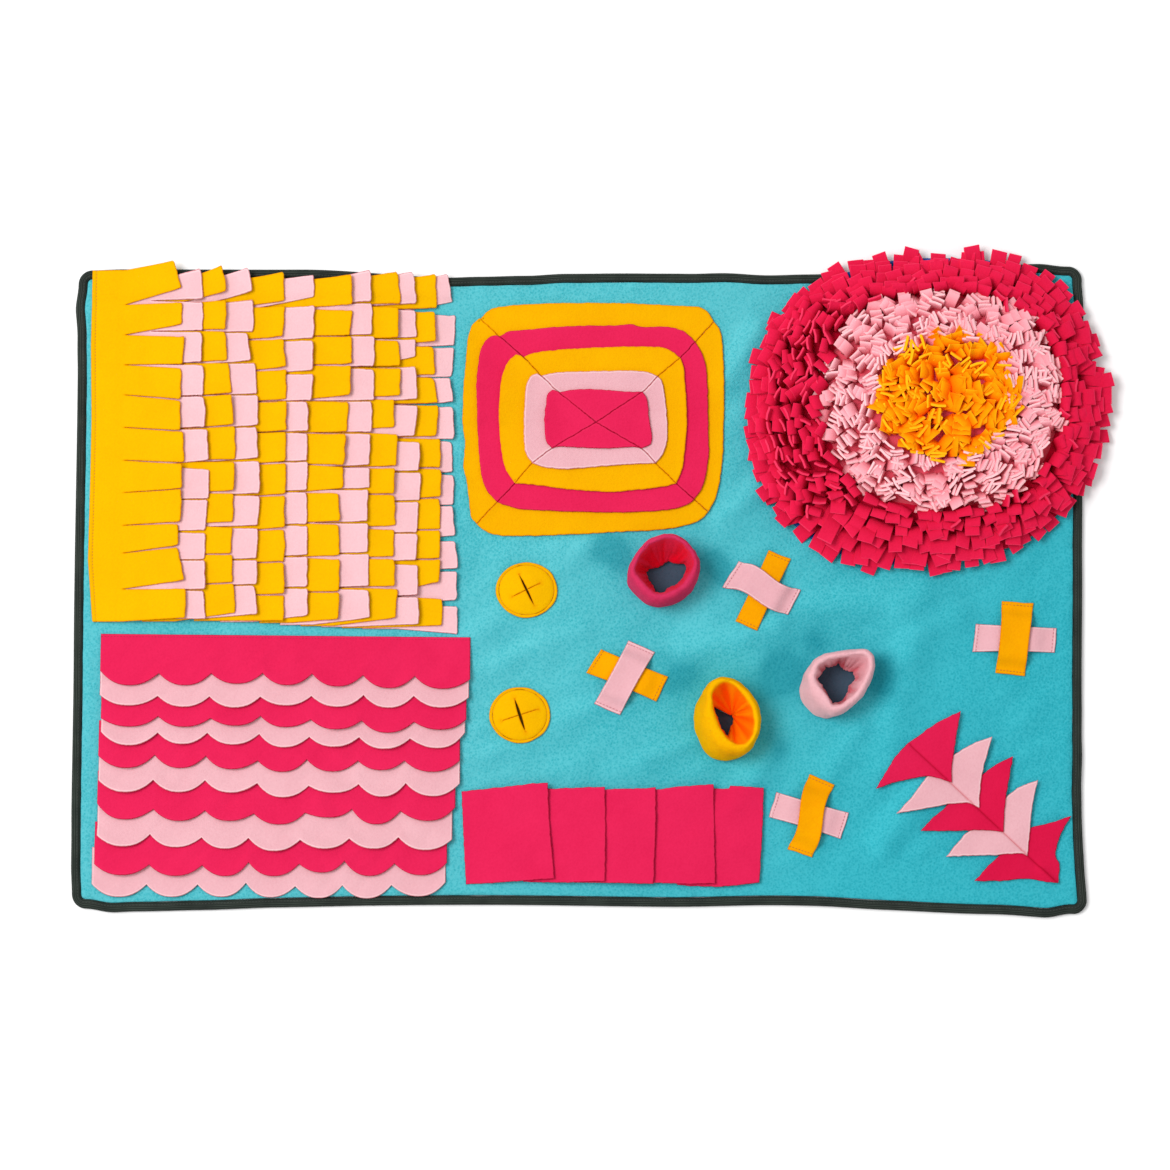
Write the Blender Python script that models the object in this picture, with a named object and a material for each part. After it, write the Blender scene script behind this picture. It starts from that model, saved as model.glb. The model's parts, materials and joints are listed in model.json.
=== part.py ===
"""A snuffle mat: a bound fleece mat with ten kinds of sewn-on hiding places for treats.

The mat lies flat on z = 0. Sizes are in metres. While it is built, x and y are measured from the middle
of the mat, +X to the right and +Y to the top edge; the last step moves the object so that its origin is
under the middle of its bounding box. The fleece strips are sewn down along one edge and each lies on the
next, like shingles, so every strip climbs one STEP for each later strip that it covers.
"""

import math
import random

import bmesh
import bpy
from mathutils import Vector

OBJECT_NAME = "SnuffleMat"

# Cloth
CLOTH = 0.0020  # thickness of one layer of fleece
GAP = 0.0003  # air between touching pieces
STEP = 0.0024  # rise from one overlapping layer to the next

# Mat: the outer corners of the binding, clockwise from the top left
CORNERS = {
    "top_left": (-0.501, 0.3195),
    "top_right": (0.500, 0.3235),
    "bottom_right": (0.4985, -0.3210),
    "bottom_left": (-0.501, -0.3155),
}
CORNER_RADIUS = 0.014
# How far each side bows in (share of the side from its first corner, depth)
SIDE_BOWS = {
    "top": ((0.22, 0.0010), (0.38, 0.0100), (0.52, 0.0105), (0.72, 0.0140)),
    "right": ((0.30, 0.0035), (0.46, 0.0050), (0.67, 0.0070), (0.83, 0.0040)),
    "bottom": ((0.10, 0.0035), (0.30, 0.0080), (0.41, 0.0050), (0.57, 0.0060)),
    "left": ((0.17, -0.0015), (0.48, -0.0020), (0.80, -0.0010)),
}
SIDE_STEPS = 9
CORNER_STEPS = 4

BINDING_WIDTH = 0.0090
BINDING_HEIGHT = 0.0066
TOP_BASE = CLOTH + GAP  # underside of the top fleece
SEWN_BASE = TOP_BASE + CLOTH + GAP  # underside of everything sewn to it

# What lies across the binding climbs onto it between these distances from the middle
CLIMB = BINDING_HEIGHT + GAP + 0.0003 - SEWN_BASE
CLIMB_TOP = (0.285, 0.297)
CLIMB_RIGHT = (0.466, 0.478)

# Fringe panel, twelve strips that run from top to bottom, sewn along their left edges
FRINGE_STARTS = [-0.486 + 0.0258 * i for i in range(6)]
FRINGE_STARTS += [-0.318 + 0.0204 * i for i in range(6)]
FRINGE_WIDTH = 0.090
FRINGE_ROOT = 0.033  # uncut width along the sewn edge
FRINGE_HEAD = 0.307  # top of the sewn edge
FRINGE_FOOT = -0.0315
FRINGE_FOOT_DROP = 0.0013  # each strip ends this much lower than the one before
FRINGE_CUTS = (0.285, 0.254, 0.224, 0.193, 0.161, 0.127, 0.096, 0.065, 0.037, 0.001)
FRINGE_TOPS = (0.328, 0.321, 0.323, 0.322, 0.316, 0.315, 0.312, 0.318, 0.317, 0.316, 0.314, 0.315)
FRINGE_SLIT = 0.0012
FRINGE_CUT_DRIFT = 0.0035  # how unevenly the tabs are cut: place of a cut, length of a tab, slant of its end
FRINGE_TIP_DRIFT = 0.0025
FRINGE_END_SLANT = 0.0012
FRINGE_LEAN = 0.004  # the lower tabs of a strip are this much longer than the upper ones
FRINGE_TOP_FLARE = 0.8  # how far the top tab turns up, as a share of its rise above the sewn edge

# Scallop panel, ten strips that run from left to right, sewn along their top edges
SCALLOP_STARTS = [0.049 + 0.0203 * i for i in range(5)]
SCALLOP_STARTS += [0.130 + 0.0250 * i for i in range(1, 6)]
SCALLOP_LEFT = (-0.477, -0.475, -0.476, -0.474, -0.478, -0.477, -0.479, -0.476, -0.479, -0.481)
SCALLOP_RIGHT = (-0.106, -0.110, -0.110, -0.114, -0.118, -0.119, -0.123, -0.126, -0.129, -0.132)
SCALLOP_DROP = 0.0480  # sewn edge to the lowest point of a scallop
SCALLOP_DEPTH = 0.0120
SCALLOPS = 7
SCALLOP_SEGMENTS = 6
SCALLOP_SLOPE = -0.008  # of the top strip, easing to none over the next six
SCALLOP_LEVEL_FROM = 6

# Ringed panel: colour, left, right, bottom, top, corner radius
RINGS = (
    ("yellow", -0.117, 0.142, 0.054, 0.286, 0.040),
    ("dark_pink", -0.102, 0.127, 0.076, 0.264, 0.034),
    ("yellow", -0.082, 0.105, 0.098, 0.241, 0.028),
    ("light_pink", -0.056, 0.086, 0.120, 0.217, 0.018),
    ("dark_pink", -0.036, 0.072, 0.139, 0.198, 0.009),
)
RING_CROSSING = (0.016, 0.166)
RING_CUT_ENDS = ((0.142, 0.277), (-0.107, 0.281), (-0.112, 0.055), (0.134, 0.066))
RING_CUT_WIDTH = 0.0008
RING_CUT_STOP = 0.006  # a cut ends this far inside a layer's own edge

# Flower: superellipses about its centre, as half length, half width
FLOWER_CENTRE = (0.345, 0.175)
FLOWER_PATCH = (0.171, 0.158)
FLOWER_OUTER = (0.158, 0.145)
FLOWER_LIGHT = (0.122, 0.113)
FLOWER_YELLOW = (0.073, 0.066)
FLOWER_HEART = (0.011, 0.008)  # the inner rings sit this far off the centre
FLOWER_POWER = 2.4
FLOWER_FOOT = SEWN_BASE + CLIMB + CLOTH + 0.0005
FLOWER_LOCKS = 46
LOCK_LENGTH = 0.0225
LOCK_THICKNESS = 0.0032
LOCK_LENGTH_SPREAD = (0.78, 1.15)
LOCK_DROOP = (0.0004, 0.0040)  # height of a lock's tip over the foot of the flower
LOCK_SHARE = 0.82  # of its pitch that a lock fills
FLOWER_OUTER_HEIGHTS = (0.0200, 0.0300, 0.0345)  # rim, crest and inner edge of the outer ring
FLOWER_LIGHT_HEIGHTS = (0.0360, 0.0400, 0.0395)
FLOWER_YELLOW_HEIGHTS = (0.0390, 0.0415, 0.0425, 0.0425)
FLOWER_YELLOW_RINGS = (0.60, 0.25)  # shares of its radius between edge and middle
FLOWER_CREST = 0.45  # place of the outer ring's crest between its rim and its inner edge
FLOWER_RIPPLE = 0.022  # unevenness of the edge between two colours
FLOWER_RIPPLES = {"light": 7, "yellow": 5}
FLOWER_COLUMNS = {"patch": 48, "light": 44, "yellow": 36}

# Round pockets: name, centre, half width, half height, angle of the long cut in degrees
POCKETS = (
    ("pocket_upper", (-0.0535, -0.001), 0.0305, 0.0275, -64),
    ("pocket_lower", (-0.0600, -0.125), 0.0300, 0.0278, -72),
)
POCKET_CUT = (0.0165, 0.0016)  # half length and half width of the open cut
POCKET_CROSS_CUT = (0.0120, 0.0003)
POCKET_CUT_BULGE = (0.5, 0.8)  # halfway out, the cut is still this share of its full width
POCKET_DOME = 0.0030
POCKET_SIDES = 28

# Cups: hole centre and half sizes, rim centre and half sizes, height, direction of the rim's point
CUPS = (
    dict(name="cup_dark_pink", colour="dark_pink", hole=(0.085, 0.012), hole_size=(0.0205, 0.0170),
         rim=(0.0815, 0.017), rim_size=(0.0365, 0.0355), height=0.042, point=0.35, turn=70),
    dict(name="cup_yellow", colour="yellow", hole=(0.142, -0.133), hole_size=(0.0145, 0.0190),
         rim=(0.143, -0.1300), rim_size=(0.0405, 0.0330), height=0.044, point=0.9, turn=112),
    dict(name="cup_light_pink", colour="light_pink", hole=(0.2525, -0.094), hole_size=(0.0190, 0.0205),
         rim=(0.2520, -0.0960), rim_size=(0.0400, 0.0320), height=0.038, point=1.6, turn=38),
)
CUP_WALL = 0.0065
CUP_COLUMNS = 24

# Crosses: strip name, colour, centre, angle in degrees, length, width, sideways wave
CROSS_STRIPS = (
    ("cross_a_under", "yellow", (0.181, -0.001), -115, 0.079, 0.0245, 0.0000),
    ("cross_a_over", "light_pink", (0.180, 0.001), -25, 0.073, 0.0275, 0.0045),
    ("cross_b_under", "yellow", (0.046, -0.085), -22, 0.073, 0.0270, 0.0000),
    ("cross_b_over", "light_pink", (0.043, -0.088), -119, 0.072, 0.0285, 0.0000),
    ("cross_c_under", "light_pink", (0.430, -0.050), -3, 0.081, 0.0245, 0.0000),
    ("cross_c_over", "yellow", (0.429, -0.049), -97, 0.074, 0.0305, 0.0000),
    ("cross_d_under", "light_pink", (0.225, -0.224), -16, 0.074, 0.0270, 0.0000),
    ("cross_d_over", "yellow", (0.227, -0.225), -107, 0.076, 0.0270, -0.0045),
)
CROSS_LIFTS = {"under": 0.0035, "over": 0.0063}
CROSS_FLAT_END = 0.006  # the sewn end of a strip
CROSS_CREST = 0.0175  # half length of the level middle, which clears the strip below

# Pleated row: five flaps sewn along their left edges
PLEAT_STARTS = (-0.1150, -0.0610, -0.0130, 0.0440, 0.0920)
PLEAT_ENDS = (-0.0295, 0.0230, 0.0725, 0.1310, 0.1780)
PLEAT_TOPS = (-0.1935, -0.1960, -0.1970, -0.1945, -0.1970)
PLEAT_BOTTOMS = (-0.2875, -0.2895, -0.2900, -0.2905, -0.2910)
PLEAT_TILT = 0.001  # a flap's top edge falls this much towards its sewn edge

# Fishbone: five arrows along a diagonal, in (along, across) of that diagonal
ARROW_FIRST = (0.3235, -0.1530)
ARROW_DIRECTION = -43.5
ARROW_PITCH = 0.0354
ARROW_LENGTH = 0.0575
ARROW_WING_UP = (0.0165, 0.0590)
ARROW_WING_DOWN = (0.0005, -0.0555)
ARROW_NOTCH_BOWS = (0.0065, 0.0045)  # bulge of the upper and the lower wing's inner edge
ARROW_HEAD_BOWS = (-0.0040, -0.0045)  # and of their outer edges, up to the tip
ARROW_COLOURS = ("dark_pink", "light_pink", "dark_pink", "light_pink", "dark_pink")
ARROW_CREASE_RISE = 0.030  # height gained for each metre away from the crease

# Colours: linear red, green, blue
COLOURS = {
    "teal": (0.060, 0.500, 0.560),
    "yellow": (0.960, 0.520, 0.002),
    "light_pink": (0.900, 0.560, 0.630),
    "dark_pink": (0.850, 0.018, 0.110),
    "slate": (0.034, 0.054, 0.078),
    "charcoal": (0.027, 0.040, 0.033),
    "blue": (0.014, 0.078, 0.352),
}
FLEECE_ROUGHNESS = 0.95


def clear_scene():
    for obj in list(bpy.data.objects):
        bpy.data.objects.remove(obj, do_unlink=True)


def make_collection(name):
    collection = bpy.data.collections.new(name)
    bpy.context.scene.collection.children.link(collection)
    return collection


def make_material(name):
    material = bpy.data.materials.new(name)
    material.use_nodes = True
    shader = material.node_tree.nodes["Principled BSDF"]
    shader.inputs["Base Color"].default_value = (*COLOURS[name], 1.0)
    shader.inputs["Roughness"].default_value = FLEECE_ROUGHNESS
    shader.inputs["Metallic"].default_value = 0.0
    material.diffuse_color = (*COLOURS[name], 1.0)
    return material


clear_scene()
parts = make_collection(OBJECT_NAME)
materials = {name: make_material(name) for name in COLOURS}
root = bpy.data.objects.new(f"{OBJECT_NAME}_origin", None)
parts.objects.link(root)


def add_part(name, mesh, colour, location=(0.0, 0.0, 0.0), angle=0.0):
    """Make the mesh a named object of the mat, with its cloth's material."""
    mesh.name = name
    mesh.materials.append(materials[colour])
    obj = bpy.data.objects.new(name, mesh)
    obj.location = location
    obj.rotation_euler = (0.0, 0.0, math.radians(angle))
    obj.parent = root
    parts.objects.link(obj)
    return obj


def curve_mesh(curve):
    """The welded mesh of a curve, whose caps come loose from its sides."""
    helper = bpy.data.objects.new("helper", curve)
    bpy.context.scene.collection.objects.link(helper)
    graph = bpy.context.evaluated_depsgraph_get()
    mesh = bpy.data.meshes.new_from_object(helper.evaluated_get(graph))
    bpy.data.objects.remove(helper, do_unlink=True)
    return mesh


def poly_spline(curve, points):
    spline = curve.splines.new("POLY")
    spline.points.add(len(points) - 1)
    for point, target in zip(spline.points, points):
        point.co = (target[0], target[1], 0.0, 1.0)
    spline.use_cyclic_u = True


def sheet(name, colour, outlines, shape, bends=(), location=(0.0, 0.0, 0.0), angle=0.0):
    """Cloth cut to the outlines (the first is its edge, the others are holes), bent along the bend lines.

    shape gives the (x, y, z) of the underside of the cloth over a flat point (x, y). A bend line is
    a point and a normal, both (x, y).
    """
    curve = bpy.data.curves.new(name, "CURVE")
    curve.dimensions = "2D"
    curve.fill_mode = "BOTH"
    curve.extrude = CLOTH / 2
    for points in outlines:
        poly_spline(curve, points)
    mesh = curve_mesh(curve)
    cloth = bmesh.new()
    cloth.from_mesh(mesh)
    bmesh.ops.remove_doubles(cloth, verts=cloth.verts, dist=1e-6)
    for point, normal in bends:
        everything = cloth.verts[:] + cloth.edges[:] + cloth.faces[:]
        bmesh.ops.bisect_plane(
            cloth, geom=everything, dist=1e-7, plane_co=(*point, 0.0), plane_no=(*normal, 0.0)
        )
    bmesh.ops.triangulate(cloth, faces=cloth.faces[:])
    for vertex in cloth.verts:
        x, y, z = shape(vertex.co.x, vertex.co.y)
        vertex.co = (x, y, z + vertex.co.z + CLOTH / 2)
    bmesh.ops.recalc_face_normals(cloth, faces=cloth.faces[:])
    cloth.to_mesh(mesh)
    cloth.free()
    return add_part(name, mesh, colour, location, angle)


def loft(name, colour, columns, closed_section):
    """A solid through a ring of sections: each column lists the points of one section, in order."""
    solid = bmesh.new()
    rows = [[solid.verts.new(point) for point in column] for column in columns]
    count = len(rows[0])
    last = count if closed_section else count - 1
    for here, there in zip(rows, rows[1:] + rows[:1]):
        for j in range(last):
            k = (j + 1) % count
            solid.faces.new((here[j], there[j], there[k], here[k]))
    bmesh.ops.remove_doubles(solid, verts=solid.verts, dist=1e-6)
    bmesh.ops.recalc_face_normals(solid, faces=solid.faces[:])
    mesh = bpy.data.meshes.new(name)
    solid.to_mesh(mesh)
    solid.free()
    mesh.shade_smooth()
    return add_part(name, mesh, colour)


def smoothstep(share):
    share = min(max(share, 0.0), 1.0)
    return share * share * (3.0 - 2.0 * share)


def climb(x, y):
    """How far cloth at this place is lifted by the binding that it lies across."""
    up = (y - CLIMB_TOP[0]) / (CLIMB_TOP[1] - CLIMB_TOP[0])
    across = (x - CLIMB_RIGHT[0]) / (CLIMB_RIGHT[1] - CLIMB_RIGHT[0])
    return CLIMB * min(max(up, across, 0.0), 1.0)


def shingle(position, starts, index):
    """Rise of strip number index at this position: one STEP for each later strip that it covers."""
    covered = 0.0
    for near, far in zip(starts[index:], starts[index + 1:]):
        covered += min(max((position - near) / (far - near), 0.0), 1.0)
    return STEP * covered


def shingle_bends(starts, index, end):
    """The starts of later strips, up to end, where the slope of strip number index changes."""
    pitches = [far - near for near, far in zip(starts, starts[1:])] + [math.inf]
    return [
        starts[j]
        for j in range(index + 1, len(starts))
        if starts[j] < end and abs(pitches[j] - pitches[j - 1]) > 1e-6
    ]


# ---- the mat


def bow(side, share):
    """How far a side bows in at this share of its length."""
    table = ((0.0, 0.0), *SIDE_BOWS[side], (1.0, 0.0))
    for (near, low), (far, high) in zip(table, table[1:]):
        if share <= far:
            return low + (high - low) * smoothstep((share - near) / (far - near))
    return 0.0


def mat_outline(inset):
    """The mat's outline, clockwise from the top left corner, moved in by inset."""
    corners = [Vector(point) for point in CORNERS.values()]
    radius = max(CORNER_RADIUS - inset, 0.002)
    points = []
    for i, side in enumerate(("top", "right", "bottom", "left")):
        start = corners[i]
        end = corners[(i + 1) % 4]
        along = (end - start).normalized()
        inward = Vector((along.y, -along.x))
        length = (end - start).length
        edge = inset + radius
        for j in range(SIDE_STEPS + 1):
            distance = edge + (length - 2 * edge) * j / SIDE_STEPS
            points.append(start + along * distance + inward * (inset + bow(side, distance / length)))
        centre = end - along * edge + inward * edge
        for j in range(1, CORNER_STEPS):
            turn = math.pi / 2 * j / CORNER_STEPS
            points.append(centre + along * radius * math.sin(turn) - inward * radius * math.cos(turn))
    return points


def ellipse(centre, half_width, half_height, count):
    turns = [2 * math.pi * j / count for j in range(count)]
    return [
        (centre[0] + half_width * math.cos(turn), centre[1] + half_height * math.sin(turn))
        for turn in turns
    ]


def make_backing():
    sheet("backing", "slate", [mat_outline(BINDING_WIDTH + GAP)], lambda x, y: (x, y, 0.0))


def make_top_fleece():
    holes = [ellipse(cup["hole"], *cup["hole_size"], CUP_COLUMNS) for cup in CUPS]
    outlines = [mat_outline(BINDING_WIDTH + GAP), *holes]
    sheet("top_fleece", "teal", outlines, lambda x, y: (x, y, TOP_BASE))


def make_binding():
    """A band with a flat foot and a rounded back, swept round the mat."""
    width, height = BINDING_WIDTH, BINDING_HEIGHT
    section = (
        (0.000, 0.000),
        (width * 0.87, 0.000),
        (width, height * 0.22),
        (width, height * 0.58),
        (width * 0.84, height * 0.88),
        (width * 0.56, height),
        (width * 0.32, height),
        (width * 0.08, height * 0.88),
        (0.000, height * 0.66),
    )
    outer = mat_outline(0.0)
    inner = mat_outline(BINDING_WIDTH)
    columns = []
    for far, near in zip(outer, inner):
        columns.append([
            (*near.lerp(far, out / width), up) for out, up in section
        ])
    loft("edge_binding", "charcoal", columns, closed_section=True)


# ---- the shingled panels


def make_fringe():
    """Twelve strips, yellow and light pink in turn, the leftmost on top, each cut into eleven tabs."""
    rng = random.Random(11)
    for index, start in enumerate(FRINGE_STARTS):
        end = start + FRINGE_WIDTH
        foot = FRINGE_FOOT - FRINGE_FOOT_DROP * index
        root_x = start + FRINGE_ROOT
        cuts = [cut + rng.uniform(-FRINGE_CUT_DRIFT, FRINGE_CUT_DRIFT) for cut in FRINGE_CUTS]
        outline = [(start, FRINGE_HEAD), (start, foot)]
        levels = [foot, *reversed(cuts)]
        for number, low in enumerate(levels):
            high = levels[number + 1] if number + 1 < len(levels) else FRINGE_TOPS[index]
            tip = end + rng.uniform(-FRINGE_TIP_DRIFT, FRINGE_TIP_DRIFT)
            tip += FRINGE_LEAN * (0.5 - number / len(cuts))
            slant = rng.uniform(-FRINGE_END_SLANT, FRINGE_END_SLANT)
            half_slit = FRINGE_SLIT / 2
            bottom = low + (half_slit if number else 0.0)
            top = high - (half_slit if number + 1 < len(levels) else 0.0)
            if number == len(levels) - 1:
                bottom = low + (top - FRINGE_HEAD) * FRINGE_TOP_FLARE + half_slit
            outline.append((tip - slant, bottom))
            outline.append((tip + slant, top))
            if number + 1 < len(levels):
                outline.append((root_x, high))

        def shape(x, y, index=index):
            return (x, y, SEWN_BASE + climb(0.0, y) + shingle(x, FRINGE_STARTS, index))

        bends = [((x, 0.0), (1.0, 0.0)) for x in shingle_bends(FRINGE_STARTS, index, end)]
        bends += [((0.0, y), (0.0, 1.0)) for y in CLIMB_TOP]
        colour = ("yellow", "light_pink")[index % 2]
        sheet(f"fringe_strip_{index + 1:02d}", colour, [outline], shape, bends)


def scallop_outline(left, right, top, top_slope):
    """A strip with a straight top edge and round scallops below, anticlockwise from the top right."""
    width = (right - left) / SCALLOPS
    points = [(right, top + top_slope * (right - left)), (left, top)]
    radius = ((width / 2) ** 2 + SCALLOP_DEPTH ** 2) / (2 * SCALLOP_DEPTH)
    spread = math.asin(width / 2 / radius)
    low = top - SCALLOP_DROP
    for number in range(SCALLOPS):
        middle = left + width * (number + 0.5)
        for j in range(SCALLOP_SEGMENTS + 1):
            if j == 0 and number:
                continue
            turn = spread * (2 * j / SCALLOP_SEGMENTS - 1)
            x = middle + radius * math.sin(turn)
            y = low + radius - radius * math.cos(turn)
            points.append((x, y + top_slope * (x - left)))
    return points


def make_scallops():
    """Ten strips, dark pink and light pink in turn, the highest on top."""
    for index, start in enumerate(SCALLOP_STARTS):
        slope = SCALLOP_SLOPE * max(1 - index / SCALLOP_LEVEL_FROM, 0.0)
        outline = scallop_outline(SCALLOP_LEFT[index], SCALLOP_RIGHT[index], -start, slope)

        def shape(x, y, index=index):
            return (x, y, SEWN_BASE + shingle(-y, SCALLOP_STARTS, index))

        end = start + SCALLOP_DROP - SCALLOP_SLOPE * (SCALLOP_RIGHT[index] - SCALLOP_LEFT[index])
        bends = [((0.0, -y), (0.0, 1.0)) for y in shingle_bends(SCALLOP_STARTS, index, end)]
        colour = ("dark_pink", "light_pink")[index % 2]
        sheet(f"scallop_strip_{index + 1:02d}", colour, [outline], shape, bends)


def make_pleats():
    """Five dark pink flaps, the leftmost on top."""
    for index, start in enumerate(PLEAT_STARTS):
        end = PLEAT_ENDS[index]
        top = PLEAT_TOPS[index]
        bottom = PLEAT_BOTTOMS[index]
        outline = [(start, bottom), (end, bottom), (end, top), (start, top - PLEAT_TILT)]

        def shape(x, y, index=index):
            return (x, y, SEWN_BASE + shingle(x, PLEAT_STARTS, index))

        bends = [((x, 0.0), (1.0, 0.0)) for x in shingle_bends(PLEAT_STARTS, index, end)]
        sheet(f"pleat_{index + 1}", "dark_pink", [outline], shape, bends)


def arc_between(start, end, depth, count):
    """Points after start up to end along an arc that bulges to the right by depth."""
    chord = Vector(end) - Vector(start)
    right = Vector((chord.y, -chord.x)).normalized()
    points = []
    for j in range(1, count + 1):
        share = j / count
        bulge = depth * 4 * share * (1 - share)
        point = Vector(start) + chord * share + right * bulge
        points.append((point.x, point.y))
    return points


def make_arrows():
    """Five arrows, the first on top, in the axes of their own diagonal, each bent along its crease."""
    starts = [ARROW_PITCH * i for i in range(len(ARROW_COLOURS))]
    for index, colour in enumerate(ARROW_COLOURS):
        start = starts[index]
        neck = (start, 0.0)
        tip = (start + ARROW_LENGTH, 0.0)
        up = (start + ARROW_WING_UP[0], ARROW_WING_UP[1])
        down = (start + ARROW_WING_DOWN[0], ARROW_WING_DOWN[1])
        outline = arc_between(neck, down, ARROW_NOTCH_BOWS[1], 4)
        outline += arc_between(down, tip, ARROW_HEAD_BOWS[1], 4)
        outline += arc_between(tip, up, ARROW_HEAD_BOWS[0], 4)
        outline += arc_between(up, neck, ARROW_NOTCH_BOWS[0], 4)
        outline = [(max(along, start), across) for along, across in outline]

        def shape(x, y, index=index):
            rise = shingle(x, starts, index) + ARROW_CREASE_RISE * abs(y)
            return (x, y, SEWN_BASE + rise)

        bends = [((0.0, 0.0), (0.0, 1.0))]
        bends += [((x, 0.0), (1.0, 0.0)) for x in shingle_bends(starts, index, tip[0])]
        sheet(f"arrow_{index + 1}", colour, [outline], shape, bends, (*ARROW_FIRST, 0.0), ARROW_DIRECTION)


# ---- the ringed panel, pockets and crosses


def rounded_rectangle(left, right, bottom, top, radius, steps=5):
    centres = (
        (right - radius, top - radius, 0.0),
        (left + radius, top - radius, 90.0),
        (left + radius, bottom + radius, 180.0),
        (right - radius, bottom + radius, 270.0),
    )
    points = []
    for x, y, first in centres:
        for j in range(steps + 1):
            turn = math.radians(first + 90.0 * j / steps)
            points.append((x + radius * math.cos(turn), y + radius * math.sin(turn)))
    return points


def inside_rounded(point, left, right, bottom, top, radius):
    """How far a point is inside a rounded rectangle, negative outside."""
    middle = Vector(((left + right) / 2, (bottom + top) / 2))
    x = abs(point[0] - middle.x) - (right - left) / 2 + radius
    y = abs(point[1] - middle.y) - (top - bottom) / 2 + radius
    return radius - math.hypot(max(x, 0.0), max(y, 0.0)) - min(max(x, y), 0.0)


def cross_cut(centre, ends, half_width):
    """A cross-shaped hole with one narrow arm to each of four ends, which are anticlockwise."""
    middle = Vector(centre)
    arms = [(Vector(end) - middle) for end in ends]
    points = []
    for arm, following in zip(arms, arms[1:] + arms[:1]):
        side = Vector((-arm.y, arm.x)).normalized() * half_width
        points.append(middle + arm - side * 0.5)
        points.append(middle + arm + side * 0.5)
        between = arm.normalized() + following.normalized()
        if between.length < 1e-3:
            between = Vector((-arm.y, arm.x))
        angle = arm.angle(following)
        points.append(middle + between.normalized() * half_width / math.sin(angle / 2))
    return points


def make_rings():
    """Five stacked layers, each with an X cut that stops short of its own edge."""
    for index, (colour, *size) in enumerate(RINGS):
        ends = []
        for end in RING_CUT_ENDS:
            arm = Vector(end) - Vector(RING_CROSSING)
            length = arm.length
            while inside_rounded(Vector(RING_CROSSING) + arm.normalized() * length, *size) < RING_CUT_STOP:
                length -= 0.0005
            ends.append(Vector(RING_CROSSING) + arm.normalized() * length)
        cut = cross_cut(RING_CROSSING, ends, RING_CUT_WIDTH / 2)
        base = SEWN_BASE + STEP * index

        def shape(x, y, base=base):
            return (x, y, base)

        sheet(f"ring_layer_{index + 1}", colour, [rounded_rectangle(*size), cut], shape)


def make_pockets():
    """Two discs that rise from a sewn rim to a cross cut, one of whose cuts gapes."""
    for name, centre, half_width, half_height, angle in POCKETS:
        turn = math.radians(angle)
        along = Vector((math.cos(turn), math.sin(turn)))
        across = Vector((-along.y, along.x))
        long_half, open_half = POCKET_CUT
        cross_half, closed_half = POCKET_CROSS_CUT
        middle = Vector(centre)
        flank_out = along * long_half * POCKET_CUT_BULGE[0]
        flank_up = across * open_half * POCKET_CUT_BULGE[1]
        mouth = across * (open_half + closed_half)
        cut = []
        for sign in (1, -1):
            cut.append(middle + along * long_half * sign)
            cut.append(middle + (flank_out + flank_up) * sign)
            cut.append(middle + (mouth + along * closed_half) * sign)
            cut.append(middle + across * cross_half * sign)
            cut.append(middle + (mouth - along * closed_half) * sign)
            cut.append(middle + (flank_up - flank_out) * sign)

        def shape(x, y, centre=centre, half_width=half_width, half_height=half_height):
            distance = math.hypot((x - centre[0]) / half_width, (y - centre[1]) / half_height)
            return (x, y, SEWN_BASE + POCKET_DOME * max(0.0, 1.0 - distance))

        sheet(name, "yellow", [ellipse(centre, half_width, half_height, POCKET_SIDES), cut], shape)


def make_crosses():
    """Pairs of arched strips: each is flat at its sewn ends, and the upper one clears the lower one."""
    for name, colour, centre, angle, length, width, wave in CROSS_STRIPS:
        lift = CROSS_LIFTS[name.rsplit("_", 1)[1]]
        ramp_end = length / 2 - CROSS_FLAT_END
        half = length / 2
        outline = [(-half, -width / 2), (half, -width / 2), (half, width / 2), (-half, width / 2)]
        marks = [CROSS_CREST + (ramp_end - CROSS_CREST) * share for share in (0.0, 0.33, 0.67, 1.0)]
        bends = [((sign * mark, 0.0), (1.0, 0.0)) for mark in marks for sign in (1, -1)]

        def shape(x, y, lift=lift, ramp_end=ramp_end, half=half, wave=wave):
            rise = lift * smoothstep((ramp_end - abs(x)) / (ramp_end - CROSS_CREST))
            sway = wave * math.sin(math.pi * x / half) * smoothstep((half - abs(x)) / half * 2)
            return (x, y + sway, SEWN_BASE + rise)

        sheet(name, colour, [outline], shape, bends, (*centre, 0.0), angle)


# ---- the flower


def superellipse(turn, half_width, half_height):
    """The distance from the centre to the flower's outline in this direction."""
    x = abs(math.cos(turn) / half_width) ** FLOWER_POWER
    y = abs(math.sin(turn) / half_height) ** FLOWER_POWER
    return (x + y) ** (-1 / FLOWER_POWER)


def lumps(x, y):
    """The uneven top of a bed of cut tabs."""
    broad = math.sin(x * 110 + 0.7) * math.sin(y * 95 + 1.9)
    fine = math.sin(x * 260 + y * 190) * math.cos(y * 240 - x * 120)
    return 0.0024 * broad + 0.0014 * fine


def flower_point(turn, distance, height, centre, lumpy):
    x = centre[0] + distance * math.cos(turn)
    y = centre[1] + distance * math.sin(turn)
    return (x, y, height + (lumps(x, y) if lumpy else 0.0))


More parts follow.
